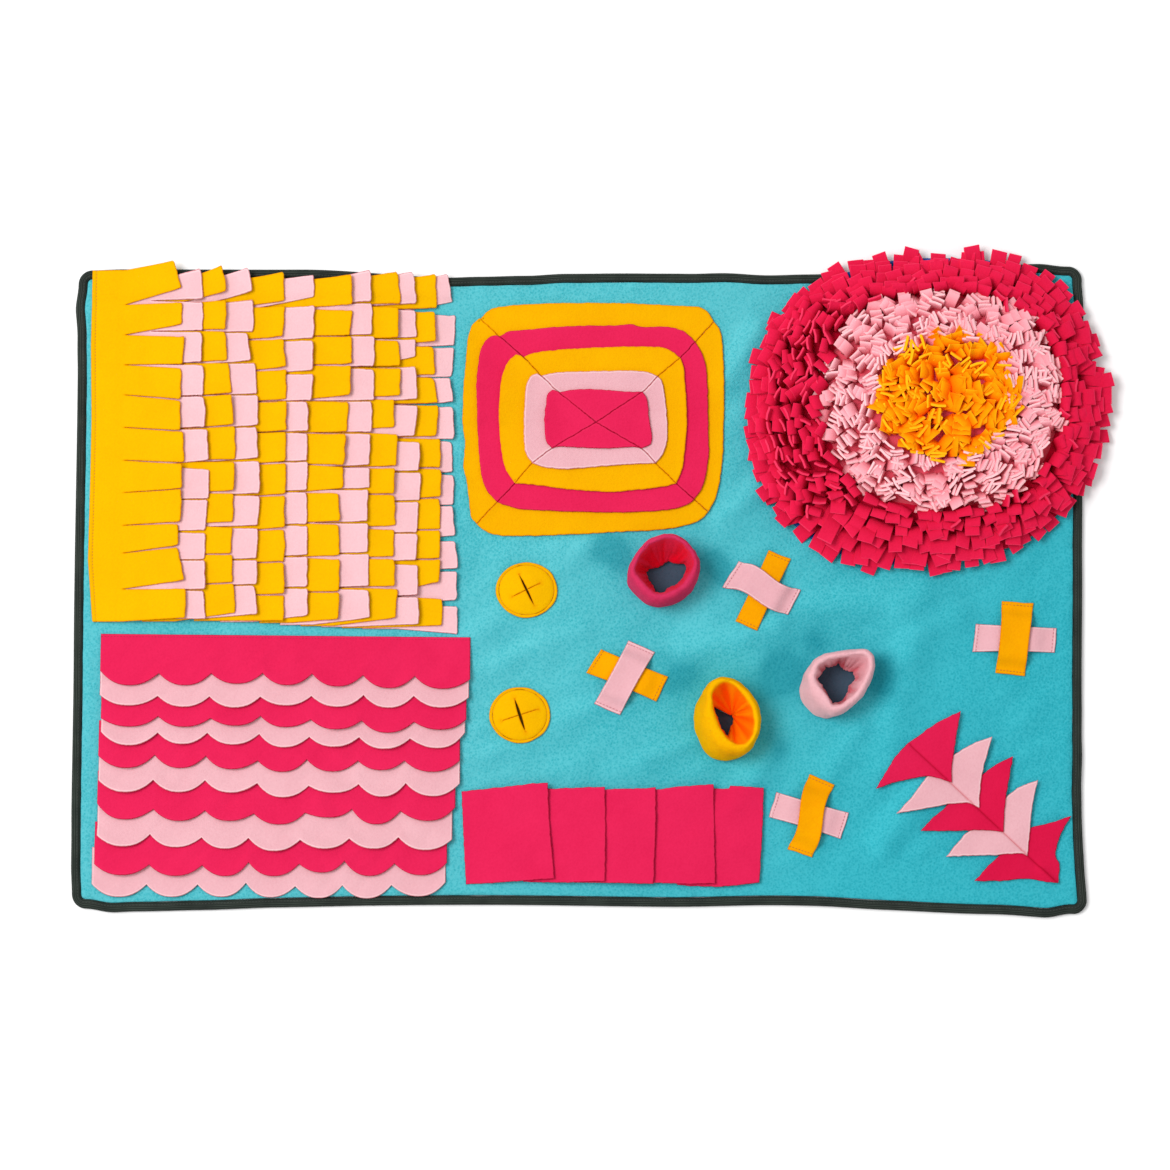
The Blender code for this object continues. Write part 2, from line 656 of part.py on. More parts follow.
def make_flower_patch():
    count = FLOWER_COLUMNS["patch"]
    outline = []
    for j in range(count):
        turn = 2 * math.pi * j / count
        edge = superellipse(turn, *FLOWER_PATCH)
        outline.append(flower_point(turn, edge, 0.0, FLOWER_CENTRE, False)[:2])

    def shape(x, y):
        return (x, y, SEWN_BASE + climb(x, y))

    bends = [((0.0, y), (0.0, 1.0)) for y in CLIMB_TOP]
    bends += [((x, 0.0), (1.0, 0.0)) for x in CLIMB_RIGHT]
    slope_x, slope_y = CLIMB_RIGHT[1] - CLIMB_RIGHT[0], CLIMB_TOP[1] - CLIMB_TOP[0]
    bends += [((CLIMB_RIGHT[0], CLIMB_TOP[0]), (1.0 / slope_x, -1.0 / slope_y))]
    sheet("flower_patch", "blue", [outline], shape, bends)


def heart():
    return (FLOWER_CENTRE[0] + FLOWER_HEART[0], FLOWER_CENTRE[1] + FLOWER_HEART[1])


def heart_edge(turn, size, colour):
    """An inner ring's edge, measured from the heart of the flower."""
    return superellipse(turn, *size) * (1 + FLOWER_RIPPLE * math.sin(FLOWER_RIPPLES[colour] * turn + 1.0))


def make_flower_outer():
    """The outer ring: a lumpy bank of tabs with separate locks round its rim."""
    rng = random.Random(5)
    gap = (1 - LOCK_SHARE) / 2
    rim, crown, inside = FLOWER_OUTER_HEIGHTS
    columns = []
    for lock in range(FLOWER_LOCKS):
        length = LOCK_LENGTH * rng.uniform(*LOCK_LENGTH_SPREAD)
        droop = rng.uniform(*LOCK_DROOP)
        root_out = 0.0005
        sides = ((gap * 0.5, root_out), (gap, length), (1 - gap, length), (1 - gap * 0.5, root_out))
        for share, out in sides:
            turn = 2 * math.pi * (lock + share) / FLOWER_LOCKS
            edge = superellipse(turn, *FLOWER_OUTER)
            foot = flower_point(turn, edge, FLOWER_FOOT, FLOWER_CENTRE, False)
            low = flower_point(turn, edge + out, FLOWER_FOOT + 0.0003 + droop, FLOWER_CENTRE, False)
            high = flower_point(turn, edge + out, low[2] + LOCK_THICKNESS, FLOWER_CENTRE, False)
            shoulder = flower_point(turn, edge - 0.003, rim, FLOWER_CENTRE, True)
            inner = heart_edge(turn, FLOWER_LIGHT, "light")
            brow = flower_point(turn, inner, inside, heart(), True)
            base = flower_point(turn, inner, FLOWER_FOOT, heart(), False)
            crest = Vector(shoulder).lerp(Vector(brow), FLOWER_CREST)
            crest.z = crown + lumps(crest.x, crest.y)
            columns.append([base, foot, low, high, shoulder, crest, brow])
    loft("flower_outer_ring", "dark_pink", columns, closed_section=True)


def make_flower_light():
    count = FLOWER_COLUMNS["light"]
    rim, crown, inside = FLOWER_LIGHT_HEIGHTS
    columns = []
    for j in range(count):
        turn = 2 * math.pi * j / count
        edge = heart_edge(turn, FLOWER_LIGHT, "light") - 2 * GAP
        inner = heart_edge(turn, FLOWER_YELLOW, "yellow")
        columns.append([
            flower_point(turn, inner, FLOWER_FOOT, heart(), False),
            flower_point(turn, edge, FLOWER_FOOT, heart(), False),
            flower_point(turn, edge - 0.0005, rim, heart(), True),
            flower_point(turn, (edge + inner) / 2, crown, heart(), True),
            flower_point(turn, inner, inside, heart(), True),
        ])
    loft("flower_light_ring", "light_pink", columns, closed_section=True)


def make_flower_yellow():
    count = FLOWER_COLUMNS["yellow"]
    rim, shoulder, crown, middle = FLOWER_YELLOW_HEIGHTS
    outer_share, inner_share = FLOWER_YELLOW_RINGS
    columns = []
    for j in range(count):
        turn = 2 * math.pi * j / count
        edge = heart_edge(turn, FLOWER_YELLOW, "yellow") - 2 * GAP
        columns.append([
            flower_point(turn, 0.0, FLOWER_FOOT, heart(), False),
            flower_point(turn, edge, FLOWER_FOOT, heart(), False),
            flower_point(turn, edge - 0.0005, rim, heart(), True),
            flower_point(turn, edge * outer_share, shoulder, heart(), True),
            flower_point(turn, edge * inner_share, crown, heart(), True),
            flower_point(turn, 0.0, middle, heart(), True),
        ])
    loft("flower_middle", "yellow", columns, closed_section=False)


# ---- the cups


def cup_radius(turn, half_long, half_short, point):
    """An oval whose end in the direction 0 comes to a soft point."""
    x = half_long * math.cos(turn)
    y = half_short * math.sin(turn)
    radius = math.hypot(x, y)
    nose = max(math.cos(turn), 0.0) ** 6
    flank = max(math.cos(turn - 0.9), math.cos(turn + 0.9), 0.0) ** 4
    return radius * (1 + 0.05 * point * nose - 0.03 * point * flank)


def make_cup(cup):
    """A folded tube: an inner wall from the hole up to a soft rim and an outer wall back down."""
    levels = (
        # share of the height, share of the way from hole to rim, outer wall or not
        (0.00, 0.00, False),
        (0.30, 0.42, False),
        (0.66, 0.78, False),
        (0.92, 0.96, False),
        (1.00, 1.00, None),
        (0.92, 1.00, True),
        (0.62, 0.96, True),
        (0.28, 0.80, True),
        (0.00, 0.52, True),
    )
    columns = []
    for j in range(CUP_COLUMNS):
        turn = 2 * math.pi * j / CUP_COLUMNS
        hole_x = cup["hole_size"][0] * math.cos(turn)
        hole_y = cup["hole_size"][1] * math.sin(turn)
        hole = Vector(cup["hole"]) + Vector((hole_x, hole_y))
        outward = Vector((math.cos(turn), math.sin(turn)))
        rim_turn = turn - math.radians(cup["turn"])
        rim = Vector(cup["rim"]) + outward * cup_radius(rim_turn, *cup["rim_size"], cup["point"])
        column = []
        for up, share, outer in levels:
            height = SEWN_BASE + cup["height"] * up
            if outer:
                point = (hole + outward * CUP_WALL * 0.9).lerp(rim, share)
            else:
                wall = CUP_WALL / 2 if outer is None else CUP_WALL
                point = hole.lerp(rim - outward * wall, share)
            column.append((point.x, point.y, height))
        columns.append(column)
    loft(cup["name"], cup["colour"], columns, closed_section=True)


def centre_origin():
    """Put the origin under the middle of the whole object's bounding box."""
    bpy.context.view_layer.update()
    points = []
    for obj in parts.objects:
        if obj.type == "MESH":
            points += [obj.matrix_world @ vertex.co for vertex in obj.data.vertices]
    xs = [point.x for point in points]
    ys = [point.y for point in points]
    root.location = (-(min(xs) + max(xs)) / 2, -(min(ys) + max(ys)) / 2, 0.0)


make_backing()
make_top_fleece()
make_binding()
make_fringe()
make_scallops()
make_rings()
make_flower_patch()
make_flower_outer()
make_flower_light()
make_flower_yellow()
make_pockets()
for cup_sizes in CUPS:
    make_cup(cup_sizes)
make_crosses()
make_pleats()
make_arrows()
centre_origin()
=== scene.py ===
import json
import math
import random

import bpy
import numpy as np
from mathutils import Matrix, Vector, noise
from mathutils.geometry import delaunay_2d_cdt

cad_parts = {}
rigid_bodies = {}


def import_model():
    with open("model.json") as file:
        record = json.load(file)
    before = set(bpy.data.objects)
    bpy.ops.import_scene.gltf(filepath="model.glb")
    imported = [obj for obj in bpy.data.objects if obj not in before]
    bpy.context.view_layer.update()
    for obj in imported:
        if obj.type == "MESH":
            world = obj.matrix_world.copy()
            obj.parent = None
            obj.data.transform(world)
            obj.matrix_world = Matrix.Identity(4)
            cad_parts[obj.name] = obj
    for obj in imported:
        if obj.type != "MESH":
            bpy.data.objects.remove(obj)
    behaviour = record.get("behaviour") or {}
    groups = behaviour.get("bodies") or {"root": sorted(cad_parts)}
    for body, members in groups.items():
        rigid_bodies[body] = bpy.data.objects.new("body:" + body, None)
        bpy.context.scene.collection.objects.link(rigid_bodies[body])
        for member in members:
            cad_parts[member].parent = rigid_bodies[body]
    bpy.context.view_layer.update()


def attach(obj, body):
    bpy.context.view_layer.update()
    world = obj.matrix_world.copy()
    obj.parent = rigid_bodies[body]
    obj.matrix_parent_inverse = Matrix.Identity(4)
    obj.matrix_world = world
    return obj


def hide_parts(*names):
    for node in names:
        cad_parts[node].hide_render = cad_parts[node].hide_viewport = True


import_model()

scene = bpy.context.scene
mm = 0.001

# Every outline below is in millimetres from the middle of the mat: x to the right, y to the top edge.
mat = {
    "shift": (-0.011537, -0.011682),  # from the middle of the mat to the origin of the object
    "flat": (0.983, 0.629),           # size that the backing and the teal fleece are cut to
    "cloth": 0.002,                   # thickness of one layer of fleece
    "step": 0.0024,                   # rise from one overlapping layer to the next
    "topBase": 0.0023,                # underside of the teal fleece
    "sewnBase": 0.0046,               # underside of what is sewn to it
    "climb": 0.0026,                  # extra rise of cloth that lies across the binding
    "climbTop": (0.285, 0.297),
    "climbRight": (0.466, 0.478),
    "underBinding": 0.0093,           # how far the binding covers the backing and the fleece
    "rimWidth": 0.0024,               # band at the cut edge of fleece where the painted rim and the painted edge shade go
    "rounding": 0.0011,               # and how much of it is rounded off
    "fineSteps": (0.0004, 0.0011, 0.0022),
}


# ---- small sums

def clamp(share):
    return min(max(share, 0.0), 1.0)


def smoothstep(share):
    share = clamp(share)
    return share * share * (3.0 - 2.0 * share)


def lerp(near, far, share):
    return near + (far - near) * share


def wobble(x, y, size, seed=0.0):
    return 1.6 * noise.noise((x / size, y / size, seed))  # smooth, about -1 to 1


def bump(distance, width):
    return math.exp(-(distance / width) ** 2)


def climb(x, y):
    low, high = mat["climbTop"]
    near, far = mat["climbRight"]
    return mat["climb"] * smoothstep(max((y - low) / (high - low), (x - near) / (far - near)))


def shingle(position, starts, index):
    # rise of strip number index: one step for each later strip that it covers
    return mat["step"] * sum(smoothstep((position - near) / (far - near))
                             for near, far in zip(starts[index:], starts[index + 1:]))


def spaced(length, step):
    # distances along a length, close together at both ends
    fine = mat["fineSteps"]
    count = max(2, round((length - 2 * fine[-1]) / step))
    middle = [lerp(fine[-1], length - fine[-1], j / count) for j in range(1, count)]
    return [0.0, *fine, *middle, *(length - short for short in reversed(fine)), length]


def stepped(table, position, share=smoothstep):
    # the value at a position in a table of (position, value), from low positions to high
    for (near, low), (far, high) in zip(table, table[1:]):
        if position <= far:
            return lerp(low, high, share((position - near) / (far - near)))
    return table[-1][1]


def pairs(*numbers):
    return list(zip(numbers[::2], numbers[1::2]))


def fours(*numbers):
    return list(zip(*(numbers[start::4] for start in range(4))))


# the soft waves of the whole top: ends of each ridge, its width and its height
waves = {
    "ridges": (
        ((336, 4), (302, -168), 20, 1.6), ((128, -42), (172, -66), 24, 2.6),
        ((-110, -168), (110, -80), 11, 0.9), ((-115, -48), (2, 38), 12, 0.7),
        ((60, -168), (120, -150), 9, 0.8), ((142, 205), (176, 258), 13, 1.7),
        ((140, 70), (186, 108), 11, 1.2), ((196, -18), (309, -12), 17, 2.4),
        ((-100, -80), (0, -40), 12, 0.7), ((330, -60), (372, -20), 15, 1.0),
        ((150, -215), (190, -160), 12, 2.0), ((300, -250), (345, -190), 15, 1.8),
        ((-90, 30), (30, 44), 9, 0.4), ((105, -60), (195, -40), 14, 1.6),
        ((240, -190), (275, -140), 12, 1.3),
    ),
    # painted shade spots beside the cups: place, width and depth of the shade
    "shadeSpots": fours(26, 44, 15, 0.9, 38, 30, 13, 0.8, 128, 30, 13, 0.8, 140, 16, 13, 0.9, 98, -84, 17, 1.0,
        186, -152, 14, 0.6, 202, -84, 19, 1.3, 298, -96, 14, 1.1, 300, -74, 13, 0.9, 176, -104, 20, 0.5,
        232, -52, 13, 0.6),
    "dimples": ((82, 17, 46, -1.6), (143, -130, 46, -1.6), (254, -95, 46, -1.6)),
    "limits": (-0.486, 0.486, -0.3, 0.306),    # left, right, bottom and top, where the waves end
    "fade": 0.04,
    "ripple": 0.00035,
    "rippleSize": 0.045,
    # painted shade of the pile: step towards the lamp side, base amount, and how much the slope, the shade
    # spots and the crests change it
    "lean": dict(away=(0.0048, -0.0015), level=0.28, slope=340.0, spotShade=1.15, crest=30.0),
}


def mound(x, y, middleX, middleY, width):
    return bump(math.hypot(x / mm - middleX, y / mm - middleY), width)


def swell(x, y):
    left, right, bottom, top = waves["limits"]
    edge = min(x - left, right - x, top - y, y - bottom)
    if edge <= 0:
        return 0.0
    rise = waves["ripple"] * wobble(x + 0.6 * y, (y - 0.6 * x) * 2.0, waves["rippleSize"], 1.0)
    for (startX, startY), (endX, endY), width, height in waves["ridges"]:
        alongX, alongY = endX - startX, endY - startY
        share = ((x / mm - startX) * alongX + (y / mm - startY) * alongY) / (alongX ** 2 + alongY ** 2)
        share = clamp(share)
        distance = math.hypot(x / mm - startX - alongX * share, y / mm - startY - alongY * share)
        if distance < 3 * width:
            rise += height * mm * bump(distance, width)
    for middleX, middleY, width, height in waves["dimples"]:
        rise += height * mm * mound(x, y, middleX, middleY, width)
    return rise * smoothstep(edge / waves["fade"])


def paintedShadeOfPile(x, y):
    # painted shade of the pile: 0 on slopes that face the lamp and on crests, 1 on slopes turned away from
    # the lamp and in the shade spots beside the cups
    lean = waves["lean"]
    awayX, awayY = lean["away"]
    far, near = swell(x + awayX, y + awayY), swell(x - awayX, y - awayY)
    spotShade = sum(depth * mound(x, y, *place) for *place, depth in waves["shadeSpots"])
    amount = lean["level"] - lean["slope"] * (far - near) + lean["spotShade"] * spotShade
    return clamp(amount - lean["crest"] * max(far + near, 0.0))


def sewn(x, y):
    # height of the middle of a cloth that lies on the teal fleece
    return mat["sewnBase"] + mat["cloth"] / 2 + swell(x, y)


# ---- cloth from grids and cut shapes

def linkMesh(name, points, edges, faces):
    shiftX, shiftY = mat["shift"]
    mesh = bpy.data.meshes.new(name)
    mesh.from_pydata([(x + shiftX, y + shiftY, z) for x, y, z in points], edges, faces)
    obj = bpy.data.objects.new(name, mesh)
    scene.collection.objects.link(obj)
    return obj


def linkPiece(name, points, faces, material):
    obj = linkMesh(name, points, [], faces)
    obj.data.materials.append(material)
    obj.data.shade_smooth()
    return obj


def faceUp(obj):
    # the highest face looks up when the cloth is the right way out
    highest = max(obj.data.polygons, key=lambda polygon: polygon.center.z)
    if highest.normal.z < 0:
        obj.data.flip_normals()


def areaOf(obj):
    return sum(polygon.area for polygon in obj.data.polygons)


def store(mesh, label, values, kind="FLOAT"):
    field = "vector" if kind == "FLOAT_VECTOR" else "value"
    mesh.attributes.new(label, kind, "POINT").data.foreach_set(field, values)


def tubeFaces(rings, count, closed=False):
    # four-sided faces between rings of points that follow each other
    faces = []
    for j in range(rings if closed else rings - 1):
        here, there = j * count, (j + 1) % rings * count
        faces += [(here + k, here + (k + 1) % count, there + (k + 1) % count, there + k)
                  for k in range(count)]
    return faces


def applyModifiers(obj):
    graph = bpy.context.evaluated_depsgraph_get()
    mesh = bpy.data.meshes.new_from_object(obj.evaluated_get(graph), preserve_all_data_layers=True,
                                           depsgraph=graph)
    obj.modifiers.clear()
    obj.vertex_groups.clear()
    old = obj.data
    obj.data = mesh
    bpy.data.meshes.remove(old)
    mesh.name = obj.name


def addThickness(obj, edgeDistances, thickness, paintedDepthShade=None):
    # the cloth thins towards its cut edge; "edge" marks the band where the material paints the rim and the
    # edge shade, and "crease" the painted shade in folds, grooves and recesses
    rim = mat["rimWidth"]
    store(obj.data, "edge", [max(0.0, 1.0 - distance / rim) for distance in edgeDistances])
    if paintedDepthShade:
        store(obj.data, "crease", paintedDepthShade)
    group = obj.vertex_groups.new(name="body")
    levels = {}
    for index, distance in enumerate(edgeDistances):
        share = min(distance / mat["rounding"], 1.0)
        levels.setdefault(round(math.sqrt(1.0 - (1.0 - share) ** 2), 2), []).append(index)
    for weight, indices in levels.items():
        group.add(indices, weight, "REPLACE")
    solidify = obj.modifiers.new("cloth thickness", "SOLIDIFY")
    solidify.thickness = thickness
    solidify.offset = 0.0
    solidify.vertex_group = "body"
    solidify.thickness_vertex_group = 0.3
    applyModifiers(obj)


def clothFromGrids(name, grids, material):
    # each grid is rows of (x, y, z, distance to the cut edge), and equal points are joined
    index, points, distances, faces = {}, [], [], []
    for grid in grids:
        numbers = []
        for row in grid:
            line = []
            for x, y, z, distance in row:
                key = (round(x * 2e5), round(y * 2e5), round(z * 2e5))
                if key not in index:
                    index[key] = len(points)
                    points.append((x, y, z))
                    distances.append(distance)
                line.append(index[key])
            numbers.append(line)
        for upper, lower in zip(numbers, numbers[1:]):
            for a, b, c, d in zip(upper, upper[1:], lower[1:], lower):
                corners = list(dict.fromkeys((a, b, c, d)))
                if len(corners) > 2:
                    faces.append(corners)
    obj = linkPiece(name, points, faces, material)
    faceUp(obj)
    area = areaOf(obj)
    addThickness(obj, distances, mat["cloth"])
    return obj, area


def measure(points, loops):
    # distance of each point to the loops, and whether it is inside them
    starts = np.concatenate([np.array(loop) for loop in loops])
    ends = np.concatenate([np.roll(np.array(loop), -1, axis=0) for loop in loops])
    along = ends - starts
    lengths = np.maximum((along ** 2).sum(axis=1), 1e-12)
    distances, inside = [], []
    for chunk in np.array_split(points, max(1, len(points) // 1500)):
        relative = chunk[:, None, :] - starts[None, :, :]
        share = np.clip((relative * along).sum(axis=2) / lengths, 0.0, 1.0)
        nearest = np.hypot(*np.moveaxis(relative - along * share[..., None], 2, 0))
        distances.append(nearest.min(axis=1))
        above = (starts[:, 1] > chunk[:, None, 1]) != (ends[:, 1] > chunk[:, None, 1])
        rise = np.where(np.abs(along[:, 1]) < 1e-12, 1e-12, along[:, 1])
        crossing = starts[:, 0] + (chunk[:, None, 1] - starts[:, 1]) * along[:, 0] / rise
        inside.append((above & (chunk[:, None, 0] < crossing)).sum(axis=1) % 2 == 1)
    return np.concatenate(distances), np.concatenate(inside)


def curveLoop(loop, spacing, waver=0.4, corner=50.0):
    # a smooth closed curve through the points, sharp only where it turns by more than the corner
    count = len(loop)
    places = [Vector(point) for point in loop]
    points, sharp, bends = [], [], []
    for j in range(count):
        before, after = places[j] - places[j - 1], places[(j + 1) % count] - places[j]
        bends.append(abs(before.angle_signed(after, 0.0)) > math.radians(corner))
    for j in range(count):
        start, end = places[j], places[(j + 1) % count]
        chord = end - start
        outOf = chord if bends[j] else (end - places[j - 1]).normalized() * chord.length
        into = (chord if bends[(j + 1) % count]
                else (places[(j + 2) % count] - start).normalized() * chord.length)
        steps = max(1, round(chord.length / spacing))
        for k in range(steps):
            t = k / steps
            place = (start * (2 * t ** 3 - 3 * t * t + 1) + outOf * (t ** 3 - 2 * t * t + t)
                     + end * (3 * t * t - 2 * t ** 3) + into * (t ** 3 - t * t))
            points.append((place.x, place.y))
            sharp.append(bends[j] and k == 0)
    if waver:
        points = [(x, y) if held else (x + waver * wobble(x, y, 5.0, 81.0),
                                       y + waver * wobble(x, y, 5.0, 82.0))
                  for (x, y), held in zip(points, sharp)]
    return points


def signedArea(loop):
    return 0.5 * sum(a[0] * b[1] - b[0] * a[1] for a, b in zip(loop, loop[1:] + loop[:1]))


def insetLoop(loop, distance):
    # the loop moved to its left, into the cloth
    count = len(loop)
    moved = []
    for j, point in enumerate(loop):
        before = Vector(point) - Vector(loop[j - 1])
        after = Vector(loop[(j + 1) % count]) - Vector(point)
        sideways = Vector((-before.y, before.x)).normalized() + Vector((-after.y, after.x)).normalized()
        if sideways.length < 0.3:
            continue
        stretch = min(2.0 / sideways.length, 1.6)
        place = Vector(point) + sideways.normalized() * distance * stretch
        moved.append((place.x, place.y))
    return moved


def fillOutlines(outlines, spacing, edgeSpacing, waver, folds, seamRows):
    # (x, y) points in millimetres and triangles that fill the first outline around the others
    fill = {"rowHeight": 0.866, "foldStep": 2.4, "foldRows": (-2.2, -0.9, 0.0, 0.9, 2.2), "foldGap": 0.6}
    fine = [step / mm for step in mat["fineSteps"]]
    loops, edges = [], []
    for number, outline in enumerate(outlines):
        loop = curveLoop(outline, edgeSpacing, waver)
        if (signedArea(loop) < 0) == (number == 0):
            loop.reverse()
        first = sum(len(other) for other in loops)
        edges += [(first + j, first + (j + 1) % len(loop)) for j in range(len(loop))]
        loops.append(loop)
    edgePoints = [point for loop in loops for point in loop]

    def within(points, gap):
        points = np.array(points)
        distance, inside = measure(points, loops)
        return points[inside & (distance > gap)]

    low, high = np.min(edgePoints, axis=0), np.max(edgePoints, axis=0)
    rowStep = spacing * fill["rowHeight"]
    lines, columns = int((high[1] - low[1]) / rowStep) + 1, int((high[0] - low[0]) / spacing) + 1
    grid = within([(low[0] + (i + 0.5 * (j % 2)) * spacing, low[1] + j * rowStep)
                   for j in range(lines + 1) for i in range(columns + 1)],
                  max((*fine, *seamRows[-1:])) + 0.5 * spacing)
    folded = []
    for start, end in folds:
        length, sideways = (end - start).length, (end - start).orthogonal().normalized()
        for j in range(round(length / fill["foldStep"])):
            place = start.lerp(end, (j + 0.5) * fill["foldStep"] / length)
            folded += [tuple(place + sideways * offset) for offset in fill["foldRows"]]
    if folded:
        folded = within(folded, fine[-1] + fill["foldGap"])
        apart = np.hypot(*np.moveaxis(grid[:, None, :] - folded[None, :, :], 2, 0)).min(axis=1)
        grid = np.concatenate([grid[apart > 0.5 * spacing], folded])
    rows = [point for step in fine for loop in loops for point in insetLoop(loop, step)]
    rows += [point for step in seamRows for point in insetLoop(loops[0], step)]
    rows = within(rows, 0.7 * fine[0])
    everything = [Vector(point) for point in (*edgePoints, *rows.tolist(), *grid.tolist())]
    points, _, faces, *_ = delaunay_2d_cdt(everything, edges, [], 0, 1e-5)
    points = np.array([tuple(point) for point in points])
    faces = np.array([tuple(face) for face in faces])
    _, inside = measure(points[faces].mean(axis=1), loops)
    distance, _ = measure(points, loops)
    return points, faces[inside], distance * mm


def clothFromOutlines(name, sheets, shape, material, spacing=5.0, edgeSpacing=2.6, thickness=mat["cloth"],
                      waver=0.4, folds=(), crease=None, seamRows=()):
    # each sheet is an outline and its holes; shape gives the height of the cloth's middle at
    # (x, y), with the distance to the cut edge and the number of the sheet
    placed, faces, distances, area = [], [], [], 0.0
    for number, outlines in enumerate(sheets):
        points, triangles, edge = fillOutlines(outlines, spacing, edgeSpacing, waver, folds, seamRows)
        used = np.unique(triangles)
        renumber = np.full(len(points), -1)
        renumber[used] = np.arange(len(used)) + len(placed)
        for (x, y), distance in zip((points[used] * mm).tolist(), edge[used].tolist()):
            placed.append((x, y, shape(x, y, distance, number)))
            distances.append(distance)
        sides = points[triangles][:, 1:] - points[triangles][:, :1]
        turned = sides[:, 0, 0] * sides[:, 1, 1] - sides[:, 0, 1] * sides[:, 1, 0]
        triangles[turned < 0] = triangles[turned < 0][:, ::-1]
        faces += renumber[triangles].tolist()
        area += 0.5 * float(np.abs(turned).sum()) * mm * mm
    obj = linkPiece(name, placed, faces, material)
    addThickness(obj, distances, thickness, [crease(x, y) for x, y, _ in placed] if crease else None)
    return obj, area


def finishPiece(made, slot, nodes, flat):
    obj, area = made
    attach(obj, "root")
    if nodes:
        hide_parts(*nodes)


# ---- cloths

def setInputs(tree, node, inputs):
    # each input takes a plain value, or a link from another node's output
    for key, value in inputs.items():
        if hasattr(value, "is_output"):
            tree.links.new(value, node.inputs[key])
        else:
            node.inputs[key].default_value = value
    return node


def addNode(tree, kind, inputs=None, **settings):
    node = tree.nodes.new(kind)
    for key, value in settings.items():
        setattr(node, key, value)
    return setInputs(tree, node, inputs or {})


def objectPlace(tree):
    return addNode(tree, "ShaderNodeTexCoord").outputs["Object"]


def stored(tree, label):
    return addNode(tree, "ShaderNodeAttribute", attribute_name=label).outputs["Fac"]


def fullColour(colour):
    return (*colour, 1.0)


def addInputs(tree, inputs):
    # returns the identifier of each named input
    sockets = {}
    for label, kind, value in inputs:
        socket = tree.interface.new_socket(label, in_out="INPUT", socket_type="NodeSocket" + kind)
        if value is not None:
            socket.default_value = value
        sockets[label] = socket.identifier
    return sockets


